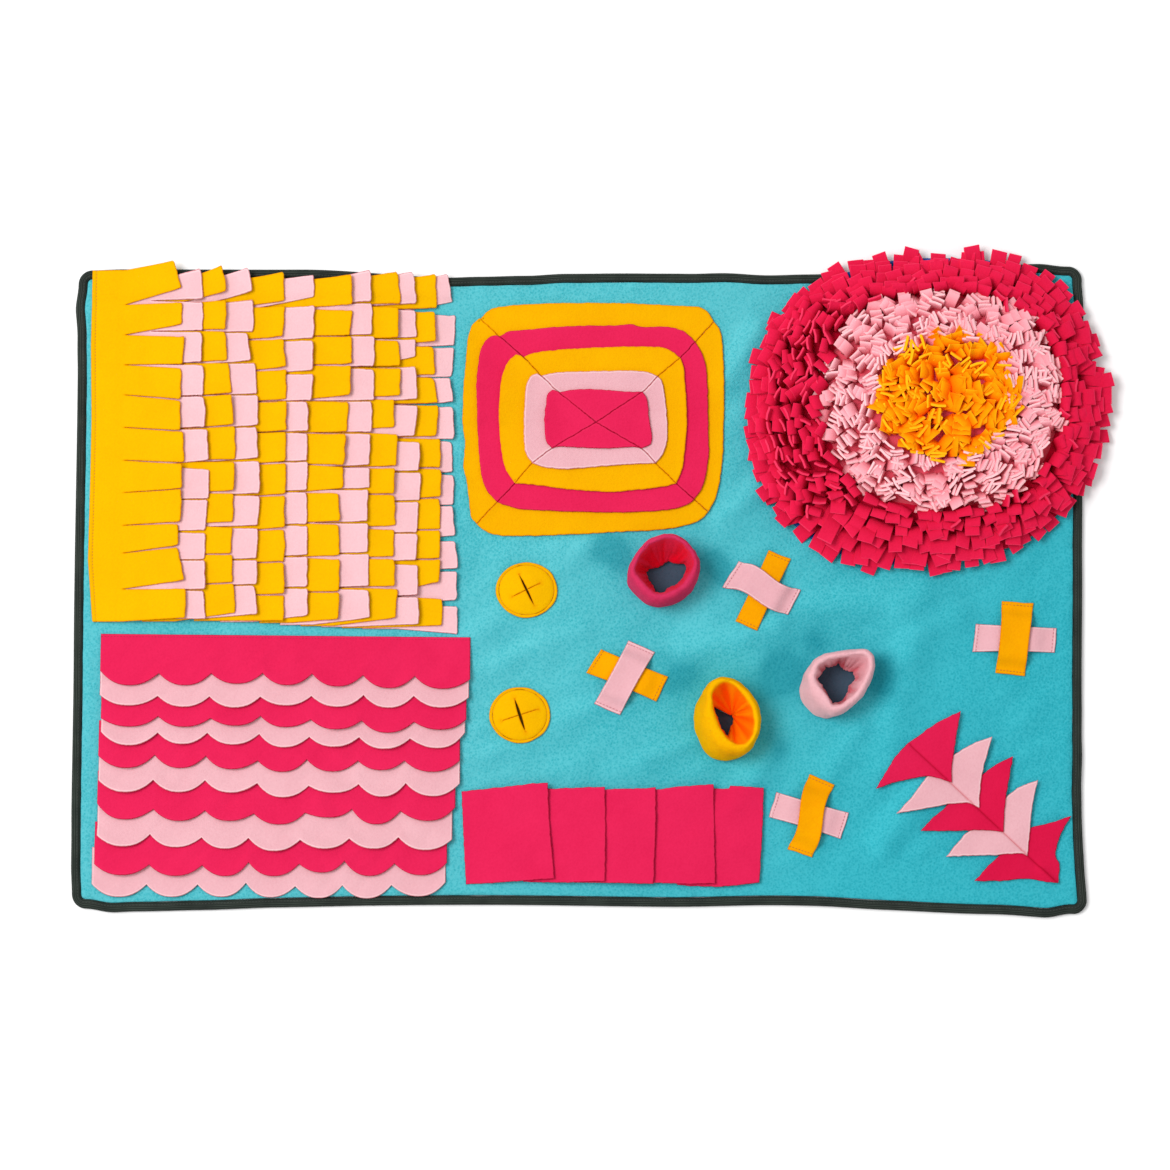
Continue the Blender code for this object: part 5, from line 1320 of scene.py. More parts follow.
def makeCrosses():
    for number, (name, given) in enumerate(crosses["strips"].items()):
        kind = "Under" if name.endswith("Under") else "Over"
        first, second, third, fourth = (Vector(corner) * mm for corner in given["corners"])
        length = ((third + fourth) - (first + second)).length / 2
        width = ((second - first).length + (fourth - third).length) / 2
        ramp = length / 2 - crosses["flatEnd"]
        sideways = ((second - first) + (fourth - third)).normalized()
        forward = ((third + fourth) - (first + second)).normalized()
        grid = []
        for along in spaced(length, 0.0036):
            u, nearEnd = along / length, min(along, length - along)
            inside = ramp - abs(along - length / 2)
            rise = crosses["lifts"][kind] * smoothstep(inside / (ramp - crosses["crest"]))
            sway = given["sway"] * math.sin(2 * math.pi * u) * smoothstep(nearEnd / 0.012)
            narrow = 1.0 - 0.05 * math.sin(math.pi * u)
            stitched = 0.0006 * bump(nearEnd - crosses["seam"], 0.001)
            row = []
            for across in spaced(width, 0.0036):
                v = across / width
                place = first.lerp(third, u).lerp(second.lerp(fourth, u), 0.5 + (v - 0.5) * narrow)
                place += sideways * sway
                place += (forward * 0.0006 * wobble(place.x, place.y, 0.012, 40.0 + number)
                          * (abs(2 * u - 1) ** 6))
                cup = 0.001 * (2 * v - 1) ** 2 * (1.0 if kind == "Over" else -0.4) * smoothstep(inside / 0.01)
                ripple = 0.0004 * wobble(place.x, place.y, 0.012, 44.0)
                row.append((place.x, place.y, sewn(place.x, place.y) + rise - stitched + cup + ripple,
                            min(nearEnd, across, width - across)))
            grid.append(row)
        for end, other, away in ((first, second, 1), (third, fourth, -1)):
            line = [end.lerp(other, share) + forward * away * crosses["seam"] for share in (0.06, 0.5, 0.94)]
            seams[given["cloth"]].append([(x, y, sewn(x, y) + mat["cloth"] / 2) for x, y in line])
        slot, cloth = slots[given["cloth"]]
        made = clothFromGrids(name, [grid], crossYellow if slot == "yellow_fleece" else cloth)
        finishPiece(made, slot, [f"cross_{name[5].lower()}_{kind.lower()}"], (length + 0.002, width + 0.001))


pleats = {
    "starts": (-0.115, -0.061, -0.013, 0.044, 0.092),
    "rise": 0.0038,
    "sag": 0.001,
    "seam": 0.006,
    "outlines": (
        pairs(-117.5, -200.4, -75.5, -196, -47.5, -193, -32.2, -192.2, -30.9, -225.3, -28.3, -258.3,
            -25.8, -286.2, -55, -288.2, -93.1, -290.8, -112.9, -291.8, -115.3, -245.6),
        pairs(-56.4, -198.6, -29.6, -197.8, -4.2, -196.8, 23.8, -196, 24.6, -238, 23.8, -288.7, 3.5, -289.5,
            -25.8, -290, -56.3, -289.2),
        pairs(-6.7, -199.1, 25.1, -198.6, 39.1, -197.8, 51.8, -197.8, 74, -196.5, 73.7, -238, 71.6, -291.3,
            49.2, -290.8, 23.8, -290.3, -6.7, -290),
        pairs(39.1, -199.3, 74.7, -198.6, 95.1, -196, 130.8, -193.5, 131.4, -225.3, 132.5, -291.3,
            102.6, -291.3, 71.6, -290.3, 39, -290.3),
        pairs(95.1, -198.8, 131.3, -197.8, 146, -197.6, 147.6, -194.8, 180.4, -196.8, 179, -238, 175.7, -290,
            155.9, -292.5, 130.5, -294.1, 102.5, -292.8, 94.9, -292.3),
    ),
}


def makePleats():
    starts, seam = pleats["starts"], pleats["seam"]
    for index, outline in enumerate(pleats["outlines"]):
        start, end = starts[index], max(x for x, y in outline) * mm

        def shape(x, y, distance, number):
            rise = pleats["rise"] * smoothstep((x - start - 0.012) / (end - start - 0.012))
            rise *= 0.75 + 0.35 * wobble(0.0, y, 0.035, 50.0 + index)
            sag = pleats["sag"] * math.sin(math.pi * clamp((x - start) / (end - start)))
            groove = 0.0006 * bump(x - start - seam, 0.0012) if index == 0 else 0.0
            ripple = 0.0004 * wobble(x, y, 0.03, 51.0)
            return sewn(x, y) + shingle(x, starts, index) + rise + sag - groove + ripple

        if index == 0:
            lowest, highest = (round(pick(y for x, y in outline if x * mm < start + 0.02))
                               for pick in (min, max))
            seams["dark"].append([(start + seam, y * mm, shape(start + seam, y * mm, 0.006, 0) + 0.0008)
                                  for y in range(lowest + 3, highest - 3, 4)])
        made = clothFromOutlines(f"pleat{index + 1}", [[outline]], shape, darkPinkFleece, spacing=4.6)
        finishPiece(made, "dark_pink_fleece", [f"pleat_{index + 1}"], (0.094, 0.1))


arrows = {
    "first": (323.5, -153.0),
    "direction": -43.5,
    "pitch": 0.0354,
    "crease": 0.03,
    "creaseLength": 66,
    "edgeFold": 0.0042,  # the last arrow's edge stands up in a soft fold
    "outlines": (
        pairs(322.2, -153.9, 331.9, -147, 342.3, -138.8, 358.6, -129.2, 375.3, -121.1, 371.1, -143.3,
            368, -162.5, 365.8, -177.3, 365.8, -191.6, 352.3, -187.6, 340.5, -185.4, 324.2, -188.4,
            312.4, -190.9, 290.9, -198, 296.1, -189.1, 303.6, -177.3, 311, -165.5),
        pairs(348.7, -177.3, 368.7, -164, 388, -152.9, 406.1, -146.5, 400.5, -165.5, 395.9, -183.2,
            393.5, -200.9, 392.7, -216.7, 381.6, -212, 363.9, -213, 340.2, -217.2, 310.7, -222.3,
            325.5, -206.8, 334.5, -195, 341.2, -186.2),
        pairs(372.8, -202.4, 395.2, -184.7, 411.5, -172.9, 426.7, -165.8, 423.2, -183.2, 419.4, -203.9,
            417.3, -221.6, 416.4, -240.3, 396.2, -238.5, 369.6, -239.3, 334.9, -239.3, 346.1, -227.5,
            358, -217.2),
        pairs(396.3, -226, 419.3, -206.1, 432, -196.5, 450.8, -189.1, 445.9, -209.8, 443.5, -227.5,
            441.9, -245.2, 439.8, -263.9, 434.3, -261.4, 412.2, -262.8, 388.6, -263.6, 359.4, -264.6,
            371, -251.1, 382.1, -239.3),
        pairs(422.6, -251.1, 443.4, -236.3, 461.2, -231.9, 483.7, -224.5, 474.4, -239.3, 469.1, -254,
            467.9, -264.3, 471.4, -271.7, 469.7, -290.4, 457.7, -289.3, 438.5, -286.1, 416.4, -288.2,
            387.6, -288.6, 400.3, -274.6, 411.4, -264.3),
    ),
}


def makeArrows():
    turn = math.radians(arrows["direction"])
    along = Vector((math.cos(turn), math.sin(turn)))
    first, starts = Vector(arrows["first"]), [arrows["pitch"] * i for i in range(5)]

    def fromFirst(x, y):
        # how far forward and to the left of the first arrow's start
        relative = Vector((x, y)) - first * mm
        return relative.dot(along), relative.x * -along.y + relative.y * along.x

    for index, outline in enumerate(arrows["outlines"]):
        def shape(x, y, distance, number):
            forward, sideways = fromFirst(x, y)
            rise = (shingle(forward, starts, index)
                    + arrows["crease"] * min(math.hypot(sideways, 0.0015), 0.06))
            wing = (0.001 * smoothstep((abs(sideways) - 0.02) / 0.03)
                    * (0.6 + wobble(x, y, 0.03, 60.0 + index)))
            fold = 0.0
            if index == 4:
                fold = arrows["edgeFold"] * bump(sideways + 0.001, 0.0035)
                fold *= smoothstep((forward - starts[4] - 0.03) / 0.01)
            pinch = 0.0009 * bump(sideways, 0.0012)
            return sewn(x, y) + rise - pinch + max(wing, 0.0) + fold + 0.0003 * wobble(x, y, 0.02, 61.0)

        start = first + along * starts[index] / mm
        slot, cloth = slots["dark" if index % 2 == 0 else "light"]
        # painted shade along the fold line
        made = clothFromOutlines(f"arrow{index + 1}", [[outline]], shape, cloth, spacing=4.0, edgeSpacing=2.4,
                                 folds=[(start, start + along * arrows["creaseLength"])],
                                 crease=lambda x, y: 0.95 * bump(fromFirst(x, y)[1], 0.0009))
        finishPiece(made, slot, [f"arrow_{index + 1}"], (0.06, 0.116))


makeCrosses()
makePleats()
makeArrows()
print("crosses, pleats and arrows ready")


# ---- cups: a sleeve of fleece, sewn round a hole, its upper half turned down outside

def radiusAt(loop, centre, turn):
    direction = Vector((math.cos(turn), math.sin(turn)))
    best = 0.0
    for start, end in zip(loop, loop[1:] + loop[:1]):
        a, b = Vector(start) - centre, Vector(end) - centre
        edge = b - a
        cross = direction.x * edge.y - direction.y * edge.x
        if abs(cross) < 1e-9:
            continue
        out = (a.x * edge.y - a.y * edge.x) / cross
        share = (a.x * direction.y - a.y * direction.x) / cross
        if out > 0 and -1e-6 <= share <= 1 + 1e-6:
            best = max(best, out)
    return best


def smoothRadii(radii, rounds):
    for _ in range(rounds):
        radii = [0.25 * radii[j - 1] + 0.5 * radii[j] + 0.25 * radii[(j + 1) % len(radii)]
                 for j in range(len(radii))]
    return radii


def makeCups():
    columns = 120
    foot = (mat["sewnBase"] + mat["cloth"] / 2) / mm
    for name, cup in cups.items():
        centre = Vector(tuple(np.mean(cup["opening"], axis=0)))
        top, seed = cup["height"] / mm, cup["height"] * 1000
        turns = [2 * math.pi * j / columns for j in range(columns)]
        rims, openings, holes = (smoothRadii([radiusAt(cup[key], centre, turn) for turn in turns], rounds)
                                 for key, rounds in (("rim", 3), ("opening", 3), ("hole", 0)))
        grid = []
        for turn, rim, opening, hole in zip(turns, rims, openings, holes):
            c, s = math.cos(turn), math.sin(turn)
            fold = wobble(c * 1.2, s * 1.2, 0.5, seed)
            gather = wobble(c * 1.2, s * 1.2, 0.22, 3 + seed)
            pleat = wobble(c * 1.2, s * 1.2, 0.16, 6 + seed)
            gap = rim - opening
            inner = max(hole + pleat * 0.9, 0.0)
            ridge = opening + min(0.36 * gap, 2.6)
            side = lerp(rim, opening + 0.62 * gap, smoothstep((gap - 9.0) / 5.0))
            # from the seam up the inside, over the ridge and down the outside: radius and height
            profile = [
                (inner, foot - 0.6), (inner + 0.6, foot + 1.6 + pleat * 1.4),
                (lerp(inner, opening, 0.24) + pleat * 1.2 + gather * 1.2, foot + 4.5 + gather * 1.2),
                (lerp(inner, opening, 0.48) + gather * 1.6 + fold * 2.4, foot + 11.0),
                (lerp(inner, opening, 0.72) + gather * 1.2 + fold * 2.6, foot + 19.0),
                (lerp(inner, opening, 0.9) + gather * 0.5 + fold * 1.4, foot + 26.0),
                (opening, top - 4.0), (lerp(opening, ridge, 0.45), top - 1.5 + fold * 0.4),
                (ridge, top - 0.8 + fold * 0.6), (lerp(ridge, side, 0.55), top - 2.4 + fold * 0.6),
                (side, top * 0.76), (lerp(side, rim, 0.45), top * 0.52),
                (lerp(side, rim, 0.85), top * 0.28), (rim - 0.4, foot + 3.0), (rim - 1.0, foot - 0.2),
            ]
            column = []
            for number, (radius, z) in enumerate(profile):
                radius = max(radius - 1.0 if z > foot + 2 and radius > ridge else radius, 1.0)
                # painted shade inside the cup, from the row's amount, more in the folds
                shade = cup["paintedShadeRows"][number] if number < len(cup["paintedShadeRows"]) else 0.0
                distance = (0.0, 0.0012, 0.01)[min(number, len(profile) - 1 - number, 2)]
                column.append(((centre.x + radius * c) * mm, (centre.y + radius * s) * mm, z * mm, distance,
                               min(shade * (0.92 + 0.5 * fold + 0.15 * gather), 1.0)))
            grid.append(column)
        finishPiece(clothFromSleeve(name, grid, cupCloths[name]), cup["slot"], [cup["node"]], (0.112, 0.222))


def clothFromSleeve(name, grid, material):
    # columns round a closed sleeve, each from its inner end up over the rim and down outside
    count, rows = len(grid), len(grid[0])
    faces = []
    for j in range(count):
        for k in range(rows - 1):
            here, there = j * rows + k, (j + 1) % count * rows + k
            faces.append((here, there, there + 1, here + 1))
    obj = linkPiece(name, [point[:3] for column in grid for point in column], faces, material)
    smooth = obj.modifiers.new("round", "SUBSURF")
    smooth.levels = smooth.render_levels = 1
    # the painted shade inside the cup is carried as depth
    for label, part in (("rimDistance", 3), ("depth", 4)):
        store(obj.data, label, [point[part] for column in grid for point in column])
    applyModifiers(obj)
    # small wrinkles of the soft cloth
    moved = []
    for vertex in obj.data.vertices:
        x, y, z = vertex.co
        turned = (x + 1.7 * z, y - 1.3 * z)
        size = 0.00045 * wobble(*turned, 0.0075, 91.0) + 0.0006 * wobble(*turned, 0.018, 92.0)
        moved += tuple(vertex.co + vertex.normal * size * smoothstep((z - 0.004) / 0.006))
    obj.data.vertices.foreach_set("co", moved)
    kept = []
    for label in ("rimDistance", "depth"):
        values = obj.data.attributes[label]
        kept.append([item.value for item in values.data])
        obj.data.attributes.remove(values)
    area = areaOf(obj)
    faceUp(obj)
    addThickness(obj, kept[0], mat["cloth"], kept[1])
    return obj, area


makeCups()
print("cups ready")


# ---- flower: rows of fleece tabs sewn to three padded beds, on a blue patch

flower = {
    "middles": {"dark": (345.0, 175.0), "light": (357.0, 185.0), "yellow": (362.0, 188.0)},
    "patch": (169.0, 156.0),
    "power": 2.4,
    "tabHalfThickness": 0.00125,
    # how far the end of a tab reaches outwards and upwards from its seam, how much it folds over, half its
    # width, and how much it may cup, wave and twist
    "tabs": {
        "edge": (0.0255, 0.0035, 0.5, 0.0072, 0.0006, 0.0003, 8),
        "rowB": (0.022, 0.009, 0.7, 0.0071, 0.0008, 0.0003, 8),
        "rowC": (0.019, 0.013, 0.8, 0.007, 0.0008, 0.0004, 10),
        "rowD": (0.016, 0.0165, 0.8, 0.007, 0.0009, 0.0004, 10),
        "rowE": (0.0125, 0.0195, 0.8, 0.0069, 0.0009, 0.0005, 12),
        "rowF": (0.0095, 0.0215, 0.7, 0.0069, 0.0009, 0.0006, 14),
        "long": (0.038, 0.005, 0.5, 0.0078, 0.0006, 0.0003, 8),
        "upright": (0.006, 0.0225, 0.1, 0.0068, 0.0012, 0.0012, 12),
        "lean": (0.0125, 0.013, 0.6, 0.0058, 0.0008, 0.0006, 12),
        "stand": (0.003, 0.016, 0.0, 0.0061, 0.0009, 0.001, 12),
        "slant": (0.0065, 0.015, 0.12, 0.0061, 0.0009, 0.001, 12),
        "curl": (0.0078, 0.0142, 0.38, 0.0084, 0.0034, 0.0052, 26),
    },
    "variants": 5,
    # padded beds: height from the middle to the edge, how deep the tabs are sewn in, and their size
    "beds": {
        "dark": dict(half=(159.0, 146.0), sunk=0.0034, size=1.0,
                     heights=pairs(0.0, 0.0186, 0.7, 0.0186, 0.79, 0.0182, 0.94, 0.011, 1.0, 0.0084)),
        "light": dict(half=(117.0, 107.0), sunk=0.003, size=1.0,
                      heights=pairs(0.0, 0.028, 0.6, 0.028, 0.92, 0.024, 1.0, 0.016)),
        "yellow": dict(half=(68.0, 61.0), sunk=0.0024, size=1.1, heights=pairs(0.0, 0.0278, 1.0, 0.0262)),
    },
    "lowestRoot": 0.008,
    # rows of the dark ring, from the outside: share of the way in, kind of tab
    "darkRows": ((0.0, "edge"), (0.2, "rowB"), (0.4, "rowC"), (0.6, "rowD"), (0.8, "rowE"), (1.0, "rowF")),
    "darkTips": ((182.0, 166.0), (128.0, 118.0)),
    "darkPitch": 13.5,
    # how much nearer the edge and the tips lie between two directions, in degrees
    "flats": ((316.0, 34.0, 0.08), (135.0, 24.0, 0.03), (275.0, 30.0, 0.03), (52.0, 16.0, -0.045)),
    "shortTips": ((90.0, 17.0, 0.06),),
    # where the dark rows stand upright, and where they are long and lie flat, in degrees
    "leftSide": (178, 48),
    "lowerLeft": (203, 240),
    # longer tabs past the outline: where each ends and which way it points
    "strays": ((332, 343, 75), (386, 342, 100), (167, 163, 180), (170, 121, 192), (529, 205, 8),
               (196, 66, 222)),
    # bundles of tabs standing side by side: inner and outer oval, distance apart, tabs in each, spacing, turn
    "bundles": {
        "light": ((67.0, 60.0), (112.0, 102.0), 9.2, (3, 5), 3.5, 0.1),
        "yellow": ((0.0, 0.0), (63.0, 56.0), 9.4, (2, 3), 5.2, 0.3),
    },
    "bundleTries": 5000,
    # name of each piece, what it stands for, and its cloth
    "pieces": {
        "dark": ("flowerOuterTabs", "flower_outer_ring", "dark_pink_fleece", deepPinkFleece),
        "light": ("flowerLightTabs", "flower_light_ring", "light_pink_fleece", petalPink),
        "yellow": ("flowerMiddleTabs", "flower_middle", "yellow_fleece", heartYellow),
    },
}


def makeTabShape(name, kind, rng):
    # a strip of fleece from its sewn root at the origin, bent outwards along x, with crisp cut edges
    reach, rise, fold, halfWidth, cupping, waving, twisting = flower["tabs"][kind]
    reach *= rng.uniform(0.9, 1.1)
    rise *= rng.uniform(0.86, 1.12)
    halfWidth *= rng.uniform(0.9, 1.1)
    cup, wave = rng.uniform(-1.0, 1.0) * cupping, rng.uniform(-1.0, 1.0) * waving
    twist, sway = math.radians(rng.uniform(-1.0, 1.0) * twisting), rng.uniform(-0.0016, 0.0016)
    skew = rng.uniform(-0.0009, 0.0009)
    root, low = Vector((0.0, 0.0)), Vector((-0.001, lerp(0.36 * rise, 0.42 * rise + 0.01, fold)))
    high = Vector((lerp(0.55, 0.3, fold) * reach, lerp(0.74 * rise, 1.14 * rise + 0.005, fold)))
    tip = Vector((reach, rise))
    # across the tab: share of its half width, share of its half thickness, how much of it is cut edge
    between = (0.5, 0.0, -0.5) if kind == "curl" else (0.0,)
    front = [(1.0, 0.6, 0.55), (0.94, 1.0, 0.0), *((across, 1.0, 0.0) for across in between),
             (-0.94, 1.0, 0.0), (-1.0, 0.6, 0.55)]
    section = front + [(across, -thick, rim) for across, thick, rim in reversed(front)]
    stations = (0.0, 0.3, 0.55, 0.78, 0.965, 1.0)
    points, edge, depth = [], [], []
    for t in stations:
        w = 1 - t
        place = root * w ** 3 + low * 3 * w * w * t + high * 3 * w * t * t + tip * t ** 3
        slope = (low - root) * 3 * w * w + (high - low) * 6 * w * t + (tip - high) * 3 * t * t
        slope.normalize()
        end = t == 1.0
        c, s = math.cos(twist * t), math.sin(twist * t)
        for across, thick, rim in section:
            side, ahead = across * halfWidth, skew * across * t
            bent = cup * (across * across - 0.4) + wave * (2.2 * across ** 3 - 1.4 * across)
            up = thick * flower["tabHalfThickness"] * (0.75 if end else 1.0) + t * bent
            turned = side * s + up * c
            points.append((place.x + slope.x * ahead - slope.y * turned, side * c - up * s + sway * t * t,
                           place.y + slope.y * ahead + slope.x * turned))
            # painted rim on the end cap, and painted shade that deepens towards the root where the tabs shade
            # each other
            edge.append(0.55 if end else rim)
            depth.append(max(0.0, 1.0 - t / 0.92) ** 0.6)
    count = len(section)
    faces, last = tubeFaces(len(stations), count), len(points) - count
    caps = [(k, k + 1, count - 2 - k, count - 1 - k) for k in range(count // 2 - 1)]
    faces += [cap[::-1] for cap in caps] + [tuple(last + corner for corner in cap) for cap in caps]
    mesh = bpy.data.meshes.new(name)
    mesh.from_pydata(points, [], faces)
    mesh.shade_smooth()
    ridges, sharp = (1, count // 2 - 2, count // 2 + 1, count - 2), []
    for line in mesh.edges:
        a, b = line.vertices
        along = a % count == b % count
        sharp.append(along and a % count in ridges or not along and a >= last and b >= last)
    mesh.attributes.new("sharp_edge", "BOOLEAN", "EDGE").data.foreach_set("value", sharp)
    store(mesh, "edge", edge)
    store(mesh, "crease", depth)
    return bpy.data.objects.new(name, mesh)


def geometryTree(name, inputs):
    tree = bpy.data.node_groups.new(name, "GeometryNodeTree")
    sockets = addInputs(tree, (("Geometry", "Geometry", None), *inputs))
    tree.interface.new_socket("Geometry", in_out="OUTPUT", socket_type="NodeSocketGeometry")
    return tree, sockets, tree.nodes.new("NodeGroupInput").outputs


def endTree(tree, geometry, material):
    real = addNode(tree, "GeometryNodeRealizeInstances", {"Geometry": geometry})
    coloured = addNode(tree, "GeometryNodeSetMaterial", {
        "Geometry": real.outputs["Geometry"], "Material": material})
    addNode(tree, "NodeGroupOutput", {"Geometry": coloured.outputs["Geometry"]})


def buildTabTree():
    # a tab on every point: which one, how it is turned and how large are kept on the point
    tree, sockets, given = geometryTree("tabsOnPoints", (
        ("Tabs", "Collection", None), ("Bed", "Object", None), ("Size", "Float", 1.0),
        ("Cloth", "Material", None)))

    def named(label, kind):
        node = addNode(tree, "GeometryNodeInputNamedAttribute", {"Name": label}, data_type=kind)
        return node.outputs["Attribute"]

    shapes = addNode(tree, "GeometryNodeCollectionInfo", {
        "Collection": given["Tabs"], "Separate Children": True, "Reset Children": True})
    size = addNode(tree, "ShaderNodeMath", {0: named("size", "FLOAT"), 1: given["Size"]},
                   operation="MULTIPLY")
    turned = addNode(tree, "FunctionNodeEulerToRotation", {"Euler": named("turn", "FLOAT_VECTOR")})
    placed = addNode(tree, "GeometryNodeInstanceOnPoints", {
        "Points": given["Geometry"], "Instance": shapes.outputs["Instances"], "Pick Instance": True,
        "Instance Index": named("pick", "INT"), "Rotation": turned.outputs["Rotation"],
        "Scale": size.outputs[0]})
    bed = addNode(tree, "GeometryNodeObjectInfo", {"Object": given["Bed"]})
    joined = addNode(tree, "GeometryNodeJoinGeometry", {"Geometry": bed.outputs["Geometry"]})
    tree.links.new(placed.outputs["Instances"], joined.inputs["Geometry"])
    endTree(tree, joined.outputs["Geometry"], given["Cloth"])
    return tree, sockets


def placeRepeats(name, points, attributes, tree, sockets, values, edges=()):
    # an object made of points, or of lines, that the tree turns into a plain mesh
    obj = linkMesh(name, points, list(edges), [])
    for label, (kind, items) in attributes.items():
        store(obj.data, label, items, kind)
    modifier = obj.modifiers.new(name, "NODES")
    modifier.node_group = tree
    for label, value in values.items():
        modifier[sockets[label]] = value
    applyModifiers(obj)
    for spare in attributes:
        if spare in obj.data.attributes:
            obj.data.attributes.remove(obj.data.attributes[spare])
    return obj


def ovalRow(centre, half, pitch, rng):
    # evenly spaced places along an oval, each with its outward direction in the plan
    loop = superOval(centre, half, 720, flower["power"])
    lengths = [0.0]
    for start, end in zip(loop, loop[1:] + loop[:1]):
        lengths.append(lengths[-1] + math.dist(start, end))
    count = max(3, round(lengths[-1] / pitch))
    offset = rng.random()
    places = []
    for j in range(count):
        wanted = lengths[-1] * ((j + offset) / count % 1.0)
        cursor = min(range(720), key=lambda k: abs(lengths[k] - wanted))
        before, after = loop[cursor - 1], loop[(cursor + 1) % 720]
        places.append((*loop[cursor], math.atan2(before[0] - after[0], after[1] - before[1])))
    return places


def bedHeight(colour, x, y):
    bed, middle = flower["beds"][colour], flower["middles"][colour]
    return stepped(bed["heights"], ovalShare(x - middle[0], y - middle[1], bed["half"]), clamp)


def ovalShare(x, y, half):
    # 0 in the middle of an oval, 1 on it
    return (abs(x / half[0]) ** flower["power"]
            + abs(y / half[1]) ** flower["power"]) ** (1 / flower["power"])


def flattened(x, y, amount, flats=()):
    # the flower is flatter in some directions, given in degrees
    middle = flower["middles"]["dark"]
    degrees = math.degrees(math.atan2(y - middle[1], x - middle[0]))
    inward = amount * sum(depth * bump((degrees - turn + 180) % 360 - 180, width)
                          for turn, width, depth in (*flower["flats"], *flats))
    return lerp(x, middle[0], inward), lerp(y, middle[1], inward)


def darkTabs(rng):
    # place, outward direction, turn, tilt, kind of tab
    (farX, farY), (nearX, nearY) = flower["darkTips"]
    outer, inner = flower["middles"]["dark"], flower["middles"]["light"]
    side, sideWidth = flower["leftSide"]
    lowest, highest = flower["lowerLeft"]
    found = []

    def placeBack(x, y, direction, kind, reach):
        shift = flower["tabs"][kind][0] / mm - reach
        return x - shift * math.cos(direction), y - shift * math.sin(direction)

    for share in [0.1 * step for step in range(11)]:
        middle = (lerp(outer[0], inner[0], share), lerp(outer[1], inner[1], share))
        kind = next((kind for level, kind in flower["darkRows"] if abs(level - share) < 0.01), None)
        reach = flower["tabs"][kind or "upright"][0] / mm
        half = (lerp(farX, nearX, share) - reach, lerp(farY, nearY, share) - reach)
        for x, y, direction in ovalRow(middle, half, flower["darkPitch"], rng):
            degrees = math.degrees(direction) % 360
            x, y = flattened(x, y, 1.0 - share, flower["shortTips"])
            drift = wobble(x, y, 26.0, 76.0)
            if share == 0.0:
                out = rng.gauss(0.0, 2.0)
                x, y = x + out * math.cos(direction), y + out * math.sin(direction)
            if abs(degrees - side) < sideWidth and share > 0.05:
                kinds = ("upright", "upright", "rowE", "rowF") if share > 0.25 else ("rowC", "rowD", "rowE")
                picked = rng.choice(kinds)
                x, y = placeBack(x, y, direction, picked, reach)
                turn = 1.1 * drift + rng.gauss(0.0, 0.16)
            elif lowest < degrees < highest and share in (0.2, 0.4):
                picked, turn = "long", rng.gauss(0.0, 0.1)
                x, y = placeBack(x, y, direction, picked, reach)
            elif kind is None:
                continue
            else:
                picked, turn = kind, 0.35 * drift + rng.gauss(0.0, 0.14)
                if share > 0.1 and rng.random() < 0.16:
                    picked, turn = rng.choice((kind, "upright")), turn + rng.gauss(0.0, 0.6)
            found.append((x, y, direction, turn, rng.gauss(0.0, 0.09), picked))
    for x, y, degrees in flower["strays"]:
        direction = math.radians(degrees)
        x, y = placeBack(x, y, direction, "edge", 0.0)
        found.append((x, y, direction, 0.0, -0.1, "edge"))
    return found


def innerTabs(colour, rng):
    # bundles of tabs that stand side by side, each bundle turned its own way
    near, far, gap, counts, spacing, loose = flower["bundles"][colour]
    middle = flower["middles"][colour]
    bundles, found = [], []
    for _ in range(flower["bundleTries"]):
        x, y = rng.uniform(-1.15, 1.15) * far[0], rng.uniform(-1.15, 1.15) * far[1]
        turn = math.atan2(y, x)
        ragged = 1.0 + 0.055 * wobble(math.cos(turn), math.sin(turn), 0.3, 75.0)
        if ovalShare(x, y, far) > ragged or near[0] and ovalShare(x, y, near) < 1.0:
            continue
        if all(math.dist((x, y), other) > gap for other in bundles):
            bundles.append((x, y))
    for x, y in bundles:
        outward, share = math.atan2(y, x), ovalShare(x, y, far)
        kind, step, count = rng.choice(("stand", "slant", "slant")), spacing, rng.randint(*counts)
        if colour == "yellow":
            kind = rng.choice(("stand", "curl", "curl", "slant"))
        facing = outward + rng.choice((0.0, 0.0, 0.8, -0.8, 1.5)) + rng.gauss(0.0, 0.4)
        # pairs of tabs that lean outwards, most of them at the upper border of the light ring
        leaning = 0.6 if math.sin(outward) > 0.3 else 0.12
        if colour == "light" and (share > 0.84 and rng.random() < leaning or rng.random() < 0.07):
            kind, step, count, facing = "lean", 4.5, 2, outward + rng.gauss(0.0, 0.35)
        tilt = rng.gauss(0.0, 0.1)
        c, s = math.cos(facing), math.sin(facing)
        for number in range(count):
            along, across = (number - (count - 1) / 2) * step, rng.gauss(0.0, 1.2)
            found.append((middle[0] + x + along * c - across * s, middle[1] + y + along * s + across * c,
                          facing, rng.gauss(0.0, loose), tilt + rng.gauss(0.0, 0.05), kind))
    return found


